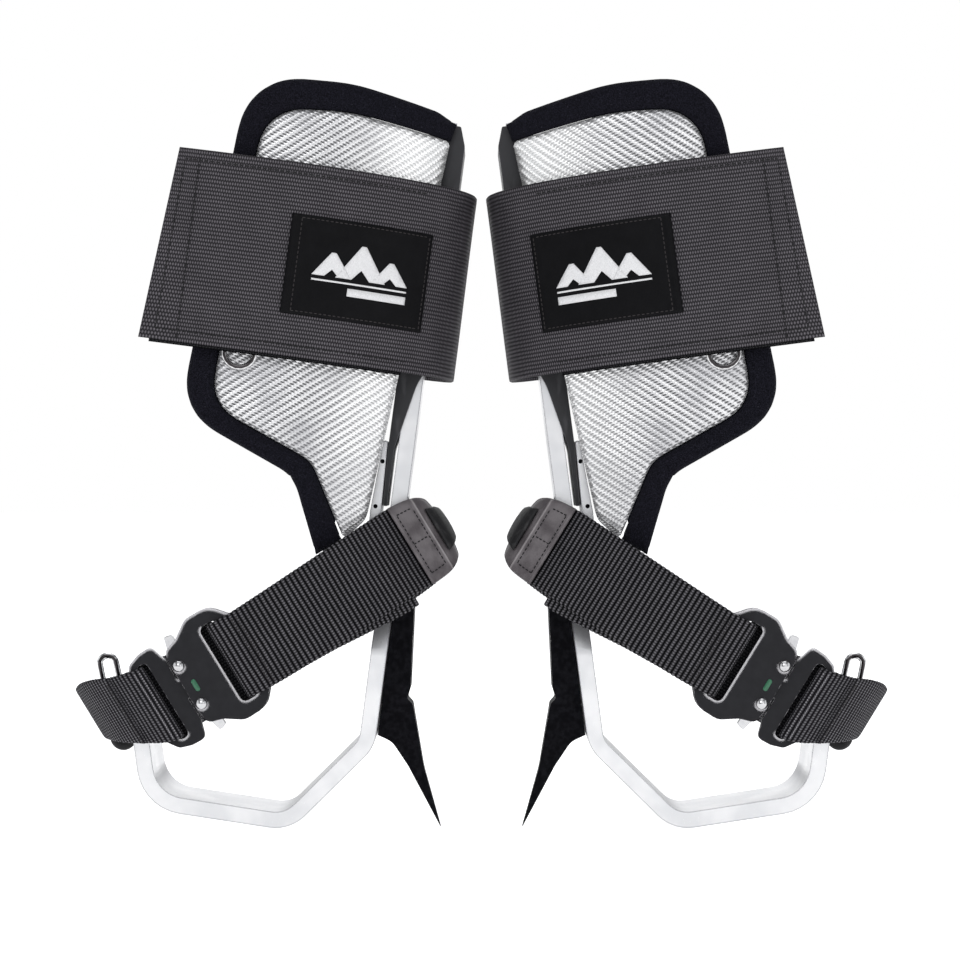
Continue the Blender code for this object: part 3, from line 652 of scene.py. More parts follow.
def mesh_from(axes, points, faces, maps=None, weld=0.0):
    """A mesh from points in a frame, with an optional map of (along, across) millimetres."""
    mesh = bpy.data.meshes.new("piece")
    mesh.from_pydata([axes.world(point) for point in points], [], faces)
    if maps is not None:
        layer = mesh.uv_layers.new(name="strip")
        for loop in mesh.loops:
            layer.data[loop.index].uv = maps[loop.vertex_index]
    build = bmesh.new()
    build.from_mesh(mesh)
    if weld:
        bmesh.ops.remove_doubles(build, verts=build.verts, dist=weld * MM)
    bmesh.ops.recalc_face_normals(build, faces=build.faces)
    build.to_mesh(mesh)
    build.free()
    return mesh


def ribbon(axes, strip, thickness, step=1.2, rows=14, relief=None, start=0.0, end=None, margins=None,
           offset=0.0, serrated=0.0):
    """A closed strap that follows a strip, with rounded edges and a relief of (along, share) on its front.

    margins gives what is left out along the lower and the upper edge at a distance along the strip.
    serrated is the pitch of ribs that show in the edges.
    """
    end = strip.length if end is None else end
    along = np.linspace(start, end, max(2, int((end - start) / step) + 1))
    places = strip.sample(along)
    normals = strip.normals(along)
    shares = 0.5 - 0.5 * np.cos(np.linspace(0.0, math.pi, rows + 1))
    points = []
    maps = []
    ring = 2 * rows
    for s, (x, y, low, high), (nx, ny) in zip(along, places, normals):
        if margins:
            low += margins(s)[0]
            high -= margins(s)[1]
        if serrated:
            tooth = 0.35 * abs(math.sin(math.pi * s / serrated)) - 0.15
            low -= tooth
            high += tooth
        width = high - low
        cap = min(1.0, (min(s - start, end - s) + 0.25) / (thickness / 2))
        for k in range(ring):
            front = k <= rows
            share = shares[k] if front else shares[ring - k]
            edge = min(share, 1 - share) * width / (thickness / 2)
            half = thickness / 2 * math.sqrt(max(0.0, 1 - (1 - min(1.0, edge)) ** 2)) * math.sqrt(cap)
            lift = relief(s, share) * min(1.0, edge) if relief else 0.0
            out = offset + (half + lift if front else -half)
            points.append((x + nx * out, y + ny * out, low + width * share))
            maps.append((s, share * width))
    return mesh_from(axes, points, tube_faces(len(along), ring), maps)


def threads(axes, paths, length, gap, radius):
    """Rows of short raised stitches along paths of points."""
    points = []
    faces = []
    sides = 6
    for path in paths:
        run = [Vector(point) for point in path]
        at = np.concatenate([[0.0], np.cumsum([(b - a).length for a, b in zip(run, run[1:])])])
        line = np.array(run)
        for start in np.arange(0.0, at[-1] - length, length + gap):
            stations = np.linspace(start, start + length, 5)
            middle = np.array([np.interp(stations, at, line[:, k]) for k in range(3)]).T
            run_way = Vector(middle[-1] - middle[0]).normalized()
            side = run_way.cross(Vector((0.31, -0.9, 0.3))).normalized()
            rise = side.cross(run_way)
            base = len(points)
            for i, centre in enumerate(middle):
                thick = radius * math.sin(math.pi * (0.12 + 0.76 * i / 4)) ** 0.6
                for turn in np.linspace(0.0, math.tau, sides, endpoint=False):
                    points.append(Vector(centre) + (side * math.cos(turn) + rise * math.sin(turn)) * thick)
            faces += tube_faces(len(middle), sides, base)
    return mesh_from(axes, points, faces)


def seam(strip, first, last, share_first, share_last, offset, count=40):
    """A stitch line along a strip, as points a little proud of its face."""
    run = np.linspace(first, last, count + 1)
    shares = np.linspace(share_first, share_last, count + 1)
    return [strip.point(along, share, offset) for along, share in zip(run, shares)]


def spread(loop, spacing):
    """A closed outline with even points between its own."""
    ring = np.array(loop)
    even = []
    for point, ahead in zip(ring, np.roll(ring, -1, 0)):
        count = max(1, round(np.linalg.norm(ahead - point) / spacing))
        even += [point + (ahead - point) * i / count for i in range(count)]
    return np.array(even)


def fine_grid(loop, spacing):
    """Points, triangles and edge distances of a flat outline filled with an even grid."""
    rim = spread(loop, spacing)
    low, high = rim.min(0), rim.max(0)
    columns = np.arange(low[0], high[0], spacing)
    levels = np.arange(low[1], high[1], spacing)
    spots = np.array([(x + (j % 2) * spacing / 2, z) for j, z in enumerate(levels) for x in columns])
    inside = spots[within(spots, rim) & (rim_distance(spots, rim) > spacing * 0.6)]
    points = [Vector(point) for point in np.vstack([rim, inside])]
    edges = [(i, (i + 1) % len(rim)) for i in range(len(rim))]
    made = delaunay_2d_cdt(points, edges, [], 1, 1e-5)
    flat = np.array(made[0])
    return flat, [tuple(face) for face in made[2]], rim_distance(flat, rim)


def within(spots, rim):
    """Which spots lie inside a closed outline."""
    x, z = spots[:, 0][:, None], spots[:, 1][:, None]
    ahead = np.roll(rim, -1, 0)
    crosses = (rim[:, 1] > z) != (ahead[:, 1] > z)
    rise = ahead[:, 1] - rim[:, 1]
    rise[rise == 0] = 1e-9
    at = rim[:, 0] + (z - rim[:, 1]) * (ahead[:, 0] - rim[:, 0]) / rise
    return (crosses & (x < at)).sum(1) % 2 == 1


def rim_distance(spots, rim):
    """Distance of each spot from a closed outline."""
    ahead = np.roll(rim, -1, 0)
    run = ahead - rim
    least = np.full(len(spots), 1e9)
    for start, way in zip(rim, run):
        off = spots - start
        share = np.clip(off @ way / max(way @ way, 1e-12), 0, 1)
        least = np.minimum(least, np.linalg.norm(off - share[:, None] * way, axis=1))
    return least


def front_outline(node, axes):
    """The outline, seen from the front, of the faces that look forward."""
    build = local_mesh(node, axes)
    least_lean = 0.25
    front = {face for face in build.faces if face.normal.y < -least_lean}
    rim = [edge for edge in build.edges if sum(face in front for face in edge.link_faces) == 1]
    beside = {}
    for edge in rim:
        a, b = edge.verts
        beside.setdefault(a, []).append(b)
        beside.setdefault(b, []).append(a)
    loops = []
    unseen = dict.fromkeys(beside)
    while unseen:
        ahead = next(iter(unseen))
        loop = []
        while ahead is not None:
            loop.append(ahead)
            del unseen[ahead]
            ahead = next((v for v in beside[ahead] if v in unseen), None)
        loops.append([(v.co.x, v.co.z) for v in loop])
    build.free()
    return max(loops, key=len)


def depth_profile(node, axes, loop):
    """Rows of (x, front, back) for a sheet that is bent only across."""
    build = local_mesh(node, axes)
    tree = BVHTree.FromBMesh(build)
    build.free()
    back = Vector((0.0, 1.0, 0.0))
    rim = np.array(loop)
    low, high = rim.min(0), rim.max(0)
    count = 160
    levels = np.linspace(low[1], high[1], count)
    found = []
    for x in np.arange(low[0] + 0.4, high[0] - 0.3, 1.0):
        inside = within(np.stack([np.full(count, x), levels], 1), rim)
        hits = []
        for level in levels[inside][::4]:
            near = tree.ray_cast(Vector((x, -200.0, level)), back)[0]
            far = near and tree.ray_cast(near + back * SKIP, back)[0]
            if far:
                hits.append((near.y, far.y))
        if hits:
            found.append((x, *np.median(hits, axis=0)))
    return softened(np.array(found), 3)


def eased(loop, spacing):
    """An outline with its facets smoothed out. Corners that smoothing would move far stay."""
    even = spread(loop, spacing)
    reach = 3
    farthest = 0.75
    mean = sum(np.roll(even, shift, 0) for shift in range(-reach, reach + 1)) / (2 * reach + 1)
    moved = np.linalg.norm(mean - even, axis=1)[:, None]
    return np.where(moved < farthest, mean, even)


def skin(node, axes, spacing, radius, rough=0.0):
    """A closed sheet in a CAD sheet's place, with rounded edges and an even mesh."""
    loop = eased(front_outline(node, axes), 1.5)
    rows, fronts, backs = depth_profile(node, axes, loop).T
    flat, faces, edge = fine_grid(loop, spacing)
    across = flat[:, 0]
    front = np.interp(across, rows, fronts)
    back = np.interp(across, rows, backs)
    half = (back - front) / 2
    steep = np.hypot(1.0, np.interp(across, rows, np.gradient(fronts, rows)))
    share = np.sqrt(np.clip(1 - (1 - np.clip(edge / radius, 0, 1)) ** 2, 0, 1))
    cut = np.minimum(half, radius * steep)
    near = front + cut * (1 - share)
    far = back - cut * (1 - share)
    near = near + np.random.default_rng(7).uniform(-rough, rough, len(flat))
    meets = (edge < 1e-4) & (cut >= half * 0.98)
    points = [
        (x, y, z)
        for side in (near, far)
        for (x, z), y in zip(flat, np.where(meets, (front + back) / 2, side))
    ]
    arc = np.concatenate([[0.0], np.cumsum(np.hypot(np.diff(rows), np.diff(fronts)))])
    maps = list(zip(np.interp(across, rows, arc), flat[:, 1])) * 2
    return mesh_from(axes, points, sheet_faces(faces, len(flat)), maps, weld=0.01)


# ---------------------------------------------------------------- cuff


def make_cuff():
    shell = skin("right_cuff_shell", CUFF, 2.4, 0.7)
    add_piece("cuff_shell_twill", shell, "silver_weave", "silver_weave", "cuff", ("cuff_shell",))
    tape = skin("right_cuff_binding", CUFF, 1.5, 2.5, rough=0.10)
    add_piece("cuff_edge_tape", tape, "loop_tape", "loop_tape", "cuff", ("cuff_binding",))


PUFF_FRAMES = 20


def evaluated_mesh(obj):
    graph = bpy.context.evaluated_depsgraph_get()
    return bpy.data.meshes.new_from_object(obj.evaluated_get(graph))


def subdivided(obj, levels):
    smooth = obj.modifiers.new("smooth", "SUBSURF")
    smooth.levels = levels
    smooth.render_levels = levels


def puffed(mesh, voxel, inset, most):
    """A padded copy of a closed mesh: remeshed, shrunk, blown up by a cloth simulation and smoothed.

    most caps how far a point may move.
    """
    obj = bpy.data.objects.new("padding", mesh)
    SCENE.collection.objects.link(obj)
    remesh = obj.modifiers.new("voxels", "REMESH")
    remesh.mode = "VOXEL"
    remesh.voxel_size = voxel * MM
    even = evaluated_mesh(obj)
    obj.modifiers.clear()
    obj.data = even
    rest = np.array([vertex.co - vertex.normal * inset * MM for vertex in even.vertices])
    even.vertices.foreach_set("co", rest.ravel())
    even.update()
    cloth = obj.modifiers.new("cloth", "CLOTH")
    cloth.settings.use_pressure = True
    cloth.settings.uniform_pressure_force = 4.0
    cloth.settings.effector_weights.gravity = 0.0
    cloth.point_cache.frame_start = 1
    cloth.point_cache.frame_end = PUFF_FRAMES
    for step in range(1, PUFF_FRAMES + 1):
        SCENE.frame_set(step)
    blown = evaluated_mesh(obj)
    moved = np.array([vertex.co for vertex in blown.vertices]) - rest
    far = np.linalg.norm(moved, axis=1)[:, None]
    moved *= np.minimum(1.0, most * MM / np.maximum(far, 1e-9))
    obj.modifiers.clear()
    even.vertices.foreach_set("co", (rest + moved).ravel())
    even.update()
    SCENE.frame_set(1)
    subdivided(obj, 1)
    made = evaluated_mesh(obj)
    bpy.data.objects.remove(obj)
    return made


def make_pad():
    """The liner, quilted by one seam all round its inner face."""
    build = local_mesh("right_cuff_pad", CUFF)
    start = bpy.data.meshes.new("padding")
    for vertex in build.verts:
        vertex.co = CUFF.world(vertex.co)
    build.to_mesh(start)
    build.free()
    mesh = puffed(start, 4.0, 1.2, 2.4)
    rim = np.array(front_outline("right_cuff_pad", CUFF))
    places = np.array([CUFF.local(vertex.co) for vertex in mesh.vertices])
    normals = np.array([vertex.normal for vertex in mesh.vertices])
    edge = rim_distance(places[:, [0, 2]], rim)
    seam_inset, seam_half, seam_depth = 11.0, 1.8, 1.3
    dent = seam_depth * np.exp(-((edge - seam_inset) / seam_half) ** 2) * (normals[:, 1] > 0.2)
    moved = np.array([vertex.co for vertex in mesh.vertices]) - normals * dent[:, None] * MM
    mesh.vertices.foreach_set("co", moved.ravel())
    add_piece("cuff_liner", mesh, "liner", "loop_tape", "cuff", ("cuff_pad",))


# ---------------------------------------------------------------- calf strap


def make_calf_strap():
    flap = softened(trace("right_calf_strap_flap", CUFF, (-70.0, 40.0, -127.5, -41.0, 74)))
    root = softened(trace("right_calf_strap_root", CUFF, (0.0, 0.0, -75.0, 110.0, 60)))
    low, high = local_box("right_calf_strap_flap", CUFF)
    slant = 4.2
    whole = next(row for row in flap if row[0] > low[0] + 3 * slant)
    flap[flap[:, 0] < whole[0], 2:] = whole[2:]
    end = flap[0].copy()
    end[0] = low[0] + slant
    flap = flap[flap[:, 0] > end[0] + 0.3]
    strip = Strip(np.vstack([end, flap, root]))
    taper = 13.0

    def lean(mesh):
        """Slant the free end as the CAD has it."""
        free = low[0] + slant
        middle = (low[2] + high[2]) / 2
        for vertex in mesh.vertices:
            spot = CUFF.local(vertex.co)
            if spot.x < free + taper:
                share = (spot.z - middle) / (high[2] - low[2])
                spot.x += 2 * slant * share * (1 - (spot.x - free) / taper)
                vertex.co = CUFF.world(spot)
        return mesh

    def ripple(along, share):
        return 0.16 * math.sin(along / 7.0 + 4.0 * share) + 0.10 * math.sin(along / 2.9)

    fold = Strip(flap).length
    bend = ("cuff", "calf_flap", CUFF.world((12.0, -22.0, 184.0)), CUFF.world((-8.0, -45.0, 184.0)))
    outer = ribbon(CUFF, strip, 1.5, step=1.5, rows=22, relief=ripple, offset=0.3)
    add_piece("calf_strap_webbing", lean(outer), "calf_webbing", "webbing", None,
              ("calf_strap_flap", "calf_strap_root"), bend)
    lining = ribbon(CUFF, strip, 0.8, step=2.0, rows=12, start=4.0, end=fold - 12.0,
                    margins=lambda along: (-1.5, 1.2), offset=-0.95)
    add_piece("calf_strap_lining", lean(lining), "backing", "webbing", "calf_flap")
    width = high[2] - low[2]
    rim = 5.6 / width
    face = 1.16
    paths = [
        seam(strip, 6.0, fold - 9.0, 1 - rim, 1 - rim, face),
        seam(strip, 6.0, fold - 9.0, rim, rim, face),
        seam(strip, 6.0, 6.0, rim, 1 - rim, face),
        seam(strip, 15.5, 15.5, 0.02, 0.98, face),
    ]
    stitches = lean(threads(CUFF, paths, 2.1, 0.9, 0.42))
    add_piece("calf_strap_stitching", stitches, "black_thread", "webbing", "calf_flap")


def make_label():
    strip = traced("right_label_patch", CUFF, (-70.0, 40.0, -95.0, -45.0, 60))
    length = strip.length
    low, high = local_box("right_label_patch", CUFF)
    width = high[2] - low[2]

    def folded_edge(along, share):
        return 0.35 * (along < 3.4) * (along > 0.3) - 0.12 * (3.4 <= along < 4.6)

    patch = ribbon(CUFF, strip, 1.1, step=0.8, rows=16, relief=folded_edge)
    add_piece("label_patch_cloth", patch, "label", "webbing", "calf_flap", ("label_patch",))
    margin = 1.8
    side = margin / width
    first, last = 5.2, length - margin
    face = 0.62
    border = [seam(strip, first, last, share, share, face) for share in (1 - side, side)]
    border += [seam(strip, at, at, side, 1 - side, face) for at in (last, first)]
    stitches = threads(CUFF, border, 1.6, 0.8, 0.3)
    add_piece("label_patch_stitching", stitches, "grey_thread", "webbing", "calf_flap")
    make_emblem(strip, length, width)


def make_emblem(strip, length, width):
    """A plain stitched motif of peaks over two bars."""
    middle = length / 2 + 1.0
    base = width * 0.42
    tall = 17.5
    shapes = []
    for shift, half, height in ((-15.0, 10.2, 0.70), (0.0, 13.0, 1.0), (15.4, 9.8, 0.64)):
        x = middle + shift
        top = base + tall * height
        notch = base + tall * height * 0.30
        foot = half * 0.36
        shapes.append([(x - half, base), (x - foot, base), (x, notch), (x + foot, base), (x + half, base),
                       (x + 1.2, top), (x - 1.2, top)])
    under = base - 2.3
    for left, right, bottom, top in ((-25.0, 25.0, -0.45, 0.45), (-6.0, 25.0, -6.4, -2.4)):
        corners = ((left, bottom), (right, bottom), (right, top), (left, top))
        shapes.append([(middle + x, under + z) for x, z in corners])
    points = []
    faces = []
    for shape in shapes:
        flat, triangles, _ = fine_grid(shape, 1.6)
        faces += sheet_faces(triangles, len(flat), len(points))
        for offset in (0.84, 0.5):
            points += [strip.point(along, level / width, offset) for along, level in flat]
    add_piece("label_motif", mesh_from(CUFF, points, faces), "white_thread", "webbing", "calf_flap")


# ---------------------------------------------------------------- ankle strap


def ribbed(strip, thickness, pitch, depth, rows=12, **more):
    """Ankle webbing, whose ribs run across it and show in its edges."""

    def ribs(along, share):
        return depth * (abs(math.sin(math.pi * along / pitch)) ** 0.7 - 0.4)

    return ribbon(ANKLE, strip, thickness, step=0.5, rows=rows, relief=ribs, serrated=pitch, **more)


def make_ankle_straps():
    fans = ((20.0, -52.0, 186.0, 262.0, 12), (33.0, 0.0, -102.0, -1.0, 90))
    front = traced("right_ankle_strap_front", ANKLE, *fans, reach=1)
    rear = traced("right_ankle_strap_rear", ANKLE, (33.0, 0.0, 1.0, 177.2, 130), level=6.0)
    for side, webbing in (("front", ribbed(front, 2.0, RIB_PITCH, RIB_DEPTH)),
                          ("rear", ribbed(rear, 2.0, RIB_PITCH, RIB_DEPTH, 10))):
        name = "ankle_strap_" + side
        add_piece(name + "_webbing", webbing, "ankle_webbing", "webbing", "spur", (name,))
    bar = [seam(front, at, at, 0.05, 0.95, 1.3) for at in (17.0, 19.6)]
    stitches = threads(ANKLE, bar, 1.7, 0.7, 0.3)
    add_piece("ankle_strap_bar_stitches", stitches, "grey_thread", "webbing", "spur")
    turned = Strip([(3.0, -50.2, -22.4, 22.4), (13.5, -50.2, -22.4, 22.4)])
    add_piece("ankle_strap_turn", ribbon(ANKLE, turned, 0.6, rows=8), "backing", "webbing", "spur")
    first, last = 46.0, 106.0

    def lowered(along):
        return -5.2 * min(1.0, (along - first) / (last - first - 8.0)), 4.0

    under = ribbed(front, 1.6, RIB_PITCH, RIB_DEPTH, 10, start=first, end=last, margins=lowered, offset=-2.3)
    add_piece("ankle_strap_second_layer", under, "ankle_webbing", "webbing", "spur")


def make_guard():
    strip = traced("right_strap_guard", ANKLE, (33.0, 0.0, -24.5, 24.5, 80))
    ridge = 15.0
    far = strip.length - ridge
    LOOKS["leather"] = make_leather((ridge, far))

    def panel(along, share):
        return 0.8 * max(math.exp(-((along - at) / 0.9) ** 2) for at in (ridge, far))

    sleeve = ribbon(ANKLE, strip, 2.2, step=0.5, relief=panel)
    add_piece("strap_guard_leather", sleeve, "leather", "leather", "spur", ("strap_guard",))
    paths = []
    margin = 2.2
    for first, last in ((margin, ridge - margin), (far + margin, strip.length - margin)):
        paths += [seam(strip, first, last, share, share, 1.2, 8) for share in (0.12, 0.5, 0.88)]
        paths += [seam(strip, at, at, 0.12, 0.88, 1.2) for at in (first, last)]
    stitches = threads(ANKLE, paths, 1.7, 0.8, 0.34)
    add_piece("strap_guard_stitching", stitches, "black_thread", "leather", "spur")
    cushion = Strip(trace("right_guard_pad", ANKLE, (33.0, 0.0, -20.5, 20.5, 90), level=5.5))

    def dome(along, share):
        across = 2 * share - 1
        middle = 2 * along / cushion.length - 1
        return 1.2 * max(0.0, 1 - across ** 2) ** 0.6 * max(0.0, 1 - middle ** 4) ** 0.5

    bumper = ribbon(ANKLE, cushion, 1.5, step=0.6, rows=16, relief=dome)
    add_piece("guard_pad_rubber", bumper, "rubber", "dark_plastic", "spur", ("guard_pad",))


def make_tail():
    """The short strap between the buckle's male plate and the outer ring."""
    fans = ((-37.0, -50.0, -17.0, -112.0, 24), (-20.0, 0.0, -112.0, -175.0, 60))
    strip = Strip(softened(trace("right_ankle_strap_tail", ANKLE, *fans)[::-1], 1))
    bend = ("spur", "tongue", ANKLE.world((-66.0, -22.0, 12.0)), ANKLE.world((-34.0, -57.0, 2.0)))
    webbing = ribbed(strip, 1.9, TAIL_PITCH, TAIL_DEPTH, offset=-0.3)
    add_piece("ankle_tail_webbing", webbing, "fine_webbing", "webbing", None, ("ankle_strap_tail",), bend)
    fold = strip.length - 21.0

    def bulged(along):
        return 0.6, -0.5 - 3.0 * math.sin(math.pi * min(1.0, along / fold))

    lap = ribbed(strip, 1.7, TAIL_PITCH, TAIL_DEPTH, start=0.6, end=fold, margins=bulged, offset=1.6)
    add_piece("ankle_tail_lap", lap, "fine_webbing", "webbing", None, (), bend)
    edge = [seam(strip, at, at, 0.02, 0.98, 2.65) for at in (2.0, fold - 1.6)]
    stitches = threads(ANKLE, edge, 1.7, 0.7, 0.3)
    add_piece("ankle_tail_stitching", stitches, "grey_thread", "webbing", None, (), bend)
    bars = [seam(strip, strip.length - at, strip.length - at, 0.04, 0.96, 0.95) for at in (5.2, 7.4)]
    stitches = threads(ANKLE, bars, 0.9, 0.5, 0.22)
    add_piece("ankle_tail_bar_stitches", stitches, "pale_thread", "webbing", None, (), bend)
    turned = Strip([(-32.0, -50.0, -21.6, 21.6), (-25.0, -50.0, -21.6, 21.6)])
    add_piece("ankle_tail_turn", ribbon(ANKLE, turned, 0.7, rows=8), "backing", "webbing", "tongue")
    make_ring_wrap(strip)


def make_ring_wrap(strip):
    """Where the strap turns round the outer ring's far side."""
    end = strip.sample(np.array([0.0]))[0]
    low, high = local_box("right_outer_ring", EYE)
    foot, top = [ANKLE.local(EYE.world((low[0], 0.0, level))) for level in (low[2] + 8.0, high[2] - 8.0)]
    slope = (top.x - foot.x) / (top.z - foot.z)
    gap = 0.9
    thickness = 1.6
    rows = 10
    turns = np.linspace(-1.0, 1.0, 25)
    points = []
    maps = []
    half_turn, width = 9.0, 24.0
    for t in turns:
        bulge = math.cos(t * math.pi / 2) ** 0.35
        for k in range(2 * rows):
            share = k / rows if k <= rows else 2 - k / rows
            level = end[2] + (end[3] - end[2]) * share
            clear = foot.x - gap + slope * (level - foot.z)
            outward = thickness if k <= rows else 0.0
            x = end[0] + (clear - end[0]) * bulge - outward * (0.15 + 0.85 * bulge)
            points.append((x, t * abs(end[1]) + math.copysign(outward * 0.5, t) * (1 - bulge), level))
            maps.append((half_turn * t, share * width))
    faces = tube_faces(len(turns), 2 * rows)
    bend = ("spur", "ring", ANKLE.world((end[0] - 0.5, 0.0, 12.0)), ANKLE.world((end[0] - 7.0, 0.0, 12.0)))
    wrap = mesh_from(ANKLE, points, faces, maps)
    add_piece("ankle_ring_wrap", wrap, "fine_webbing", "webbing", None, (), bend)


# ---------------------------------------------------------------- small hardware


def turned_disc(axes, centre, profile, length=0.0):
    """A turned button that faces forward, drawn out by a length. The profile runs from its middle out."""
    points = []
    sides = 28
    for radius, height in profile:
        for k in range(sides):
            turn = math.tau * (k + 0.5) / sides
            rise = radius * math.sin(turn) + math.copysign(length / 2, math.sin(turn))
            points.append((centre[0] + radius * math.cos(turn), centre[1] - height, centre[2] + rise))
    return mesh_from(axes, points, tube_faces(len(profile), sides))


def make_ring_sleeve():
    """A black sleeve on the outer ring's lower bend."""
    low, high = local_box("right_outer_ring", EYE)
    thick = (high[1] - low[1]) / 2
    across = (low[0] + high[0]) / 2
    radius = (high[0] - low[0]) / 2 - thick
    sides, steps = 20, 24
    points = []
    for i in range(steps + 1):
        angle = math.radians(-192.0 + 204.0 * i / steps)
        fat = (thick + 1.0) * min(1.0, 0.82 + 0.09 * min(i, steps - i))
        for k in range(sides):
            turn = math.tau * k / sides
            reach = radius + fat * math.cos(turn)
            points.append((across + reach * math.cos(angle), fat * math.sin(turn),
                           low[2] + thick + radius + reach * math.sin(angle)))
    sleeve = mesh_from(EYE, points, tube_faces(steps + 1, sides))
    add_piece("outer_ring_sleeve", sleeve, "rubber", "dark_plastic", "ring")


def make_indicator_lens():
    face = local_box("right_buckle_front_plate", ANKLE)[0][1]
    centre = ANKLE.local(sum(RIVETS, Vector()) / 2)
    spot = (centre.x + 2.4, face + 0.1, centre.z - 1.6)
    profile = [(0.3, 0.45), (0.9, 0.4), (1.2, 0.25), (1.25, 0.0)]
    lens = turned_disc(ANKLE, spot, profile, 4.2)
    add_piece("buckle_indicator", lens, "indicator", "black_anodised", "spur")


def make_bracket_screws():
    low, high = local_box("right_cuff_bracket", CUFF)
    points = ((0.42, 0.24), (0.52, 0.76))
    profile = [(0.1, 0.05), (0.5, 0.1), (0.55, 0.4), (0.9, 0.4), (1.15, 0.1), (1.15, -0.2)]
    for name, (across, up) in zip(("lower", "upper"), points):
        spot = (low[0] + (high[0] - low[0]) * across, low[1], low[2] + (high[2] - low[2]) * up)
        screw = turned_disc(CUFF, spot, profile)
        add_piece("bracket_screw_" + name, screw, "black_steel", "bright_steel", "cuff")


# ---------------------------------------------------------------- kept CAD nodes

ROUNDED = {
    "stirrup_shank": 0.8, "gaff": 0.5, "cuff_carrier": 0.5, "cuff_bracket": 0.4, "ring_chape": 0.15,
    "buckle_front_plate": 0.4, "buckle_back_plate": 0.4, "buckle_tongue": 0.5,
    "buckle_latch_upper": 0.4, "buckle_latch_lower": 0.4,
}
WIRES = ("outer_ring", "strap_ring", "adjuster_bar")
SMOOTHING_LOSS = 0.12  # what subdivision takes off a wire's radius


def finish_cad():
    """Give each CAD node that stays its look, and soften its edges and facets."""
    slots = {part["node"]: part["material_slot"] for part in frame["record"]["subparts"]}
    for node, obj in frame["nodes"].items():
        if obj.hide_render:
            continue
        slot = slots[node]
        obj.data.materials.clear()
        obj.data.materials.append(LOOKS["backing" if slot == "webbing" else slot])
        custom = obj.data.attributes.get("custom_normal")
        if custom:
            obj.data.attributes.remove(custom)
        for polygon in obj.data.polygons:
            polygon.use_smooth = True
        weld = obj.modifiers.new("weld", "WELD")
        weld.merge_threshold = WELD * MM
        part = node.split("_", 1)[1]
        if part in WIRES:
            obj.data.materials[0] = LOOKS["wire_steel"]
            subdivided(obj, 2)
            fatten = obj.modifiers.new("fatten", "DISPLACE")
            fatten.strength = SMOOTHING_LOSS * MM
            fatten.mid_level = 0.0
            continue
        edge = obj.modifiers.new("edges", "BEVEL")
        edge.width = ROUNDED.get(part, 0.2) * MM
        edge.segments = 2
        edge.limit_method = "ANGLE"
        edge.angle_limit = math.radians(32)
        edge.use_clamp_overlap = True
        normal = obj.modifiers.new("normals", "WEIGHTED_NORMAL")
        normal.keep_sharp = False


# ---------------------------------------------------------------- stage


def make_floor():
    look = Look("pale_floor", roughness=0.7)
    look.set(base_color=look.mix(look.noise(400.0), (0.92, 0.92, 0.92), (0.95, 0.95, 0.95)),
             emission_color=(1.0, 1.0, 1.0, 1.0), emission_strength=FLOOR_GLOW, specular_ior_level=0.0)
    mesh = bpy.data.meshes.new("floor")
    half = 12.0
    corners = ((-half, -half, 0.0), (half, -half, 0.0), (half, half, 0.0), (-half, half, 0.0))
    mesh.from_pydata(corners, [], [(0, 1, 2, 3)])
    floor = bpy.data.objects.new("floor", mesh)
    floor.location.z = CAD_BOX[0][2] - FLOOR_GAP
    mesh.materials.append(look.material)
    SCENE.collection.objects.link(floor)


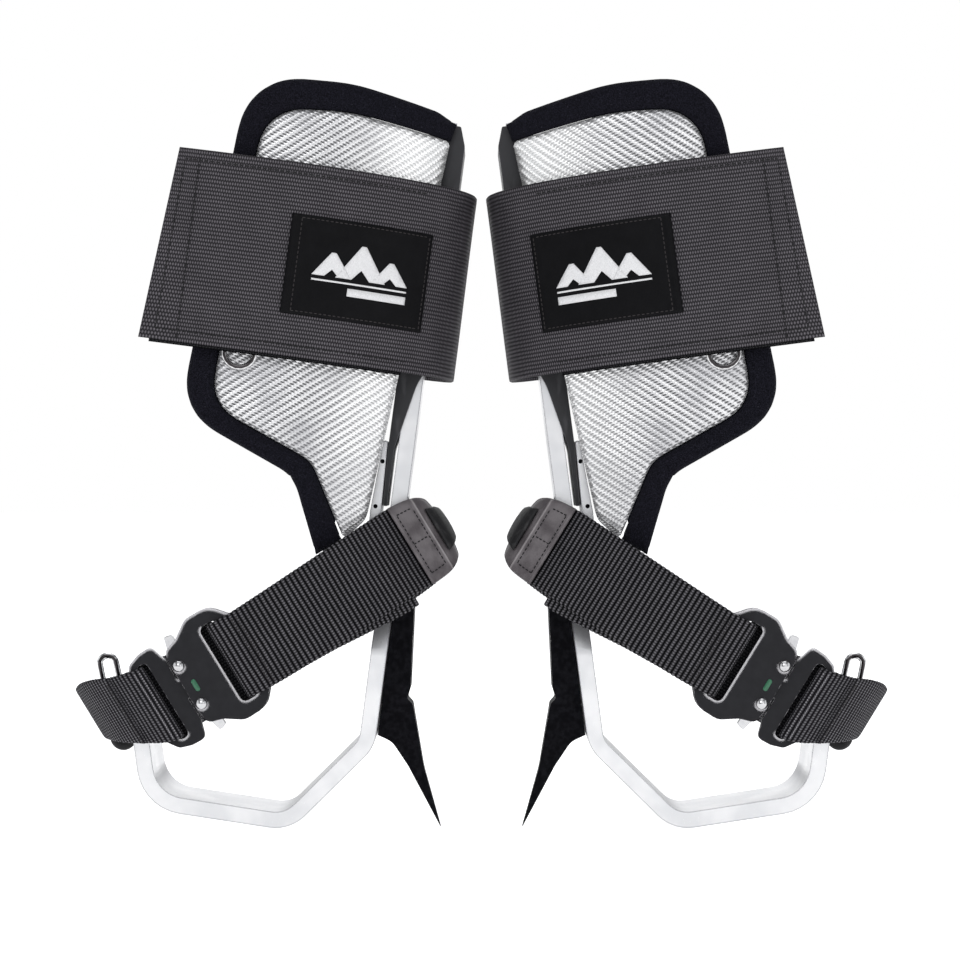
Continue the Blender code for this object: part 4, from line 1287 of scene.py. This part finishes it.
def make_world():
    """White to the camera. The object sees a pale room, two dark flags in front and bright side strips."""
    world = bpy.data.worlds.new("studio")
    SCENE.world = world
    world.use_nodes = True
    room = Nodes(world.node_tree)
    x, y, z = room.node("SeparateXYZ", room.node("TexCoord").outputs["Generated"]).outputs
    aside = room.math("ABSOLUTE", x)
    depth = room.step(y, -0.35, 0.35, ROOM_FRONT, ROOM_BACK)
    flags = room.step(aside, 0.22, 0.50, 1.0, ROOM_FLAGS)
    strips = room.step(aside, 0.68, 0.84, 0.0, ROOM_STRIPS)
    height = room.step(z, -0.5, 0.6, 0.75, 1.15)
    level = room.times(room.plus(room.times(depth, flags), strips), height)
    lit = room.node("Background", (0.97, 0.98, 1.0, 1.0), level).outputs[0]
    seen = room.node("Background", (1.0, 1.0, 1.0, 1.0), 1.0).outputs[0]
    choice = room.node("MixShader", room.node("LightPath").outputs["Is Camera Ray"], lit, seen)
    room.put(room.tree.nodes["World Output"].inputs[0], choice.outputs[0])


def make_light(name, place, size, power):
    """A soft rectangle of light that faces the middle of the spurs."""
    data = bpy.data.lights.new(name, "AREA")
    data.shape = "RECTANGLE"
    data.size, data.size_y = size
    data.energy = power
    light = bpy.data.objects.new(name, data)
    light.location = place
    light.rotation_euler = (Vector((0.0, 0.0, 0.2)) - Vector(place)).to_track_quat("-Z", "Y").to_euler()
    SCENE.collection.objects.link(light)


def make_camera():
    data = bpy.data.cameras.new("camera")
    data.sensor_width = 36.0
    data.lens = data.sensor_width / 2 / math.tan(math.radians(CAMERA_ANGLE) / 2)
    data.clip_start = 0.05
    camera = bpy.data.objects.new("camera", data)
    camera.location = CAMERA_PLACE
    camera.rotation_euler = (math.radians(90), 0.0, 0.0)
    SCENE.collection.objects.link(camera)
    SCENE.camera = camera


FLOOR_GAP = 0.0006
FLOOR_GLOW = 0.62
ROOM_FRONT = 0.85
ROOM_BACK = 0.52
ROOM_FLAGS = 0.30
ROOM_STRIPS = 0.75
CAMERA_ANGLE = 22.15
CAMERA_PLACE = (-0.0008, -1.3, 0.1833)

make_cuff()
make_pad()
make_calf_strap()
make_label()
make_ankle_straps()
make_guard()
make_tail()
make_ring_sleeve()
make_indicator_lens()
make_bracket_screws()
mirror_pieces()
finish_cad()

make_floor()
make_world()
make_light("key", (-0.35, -1.3, 1.1), (0.8, 0.8), 4.0)
make_light("fill", (0.75, -1.2, 0.6), (0.5, 1.0), 2.0)
make_light("top", (0.0, 0.15, 1.3), (1.2, 0.7), 3.0)
make_light("back", (0.0, 1.2, 0.6), (1.4, 0.8), 3.0)
make_camera()
SCENE.view_settings.view_transform = "Standard"
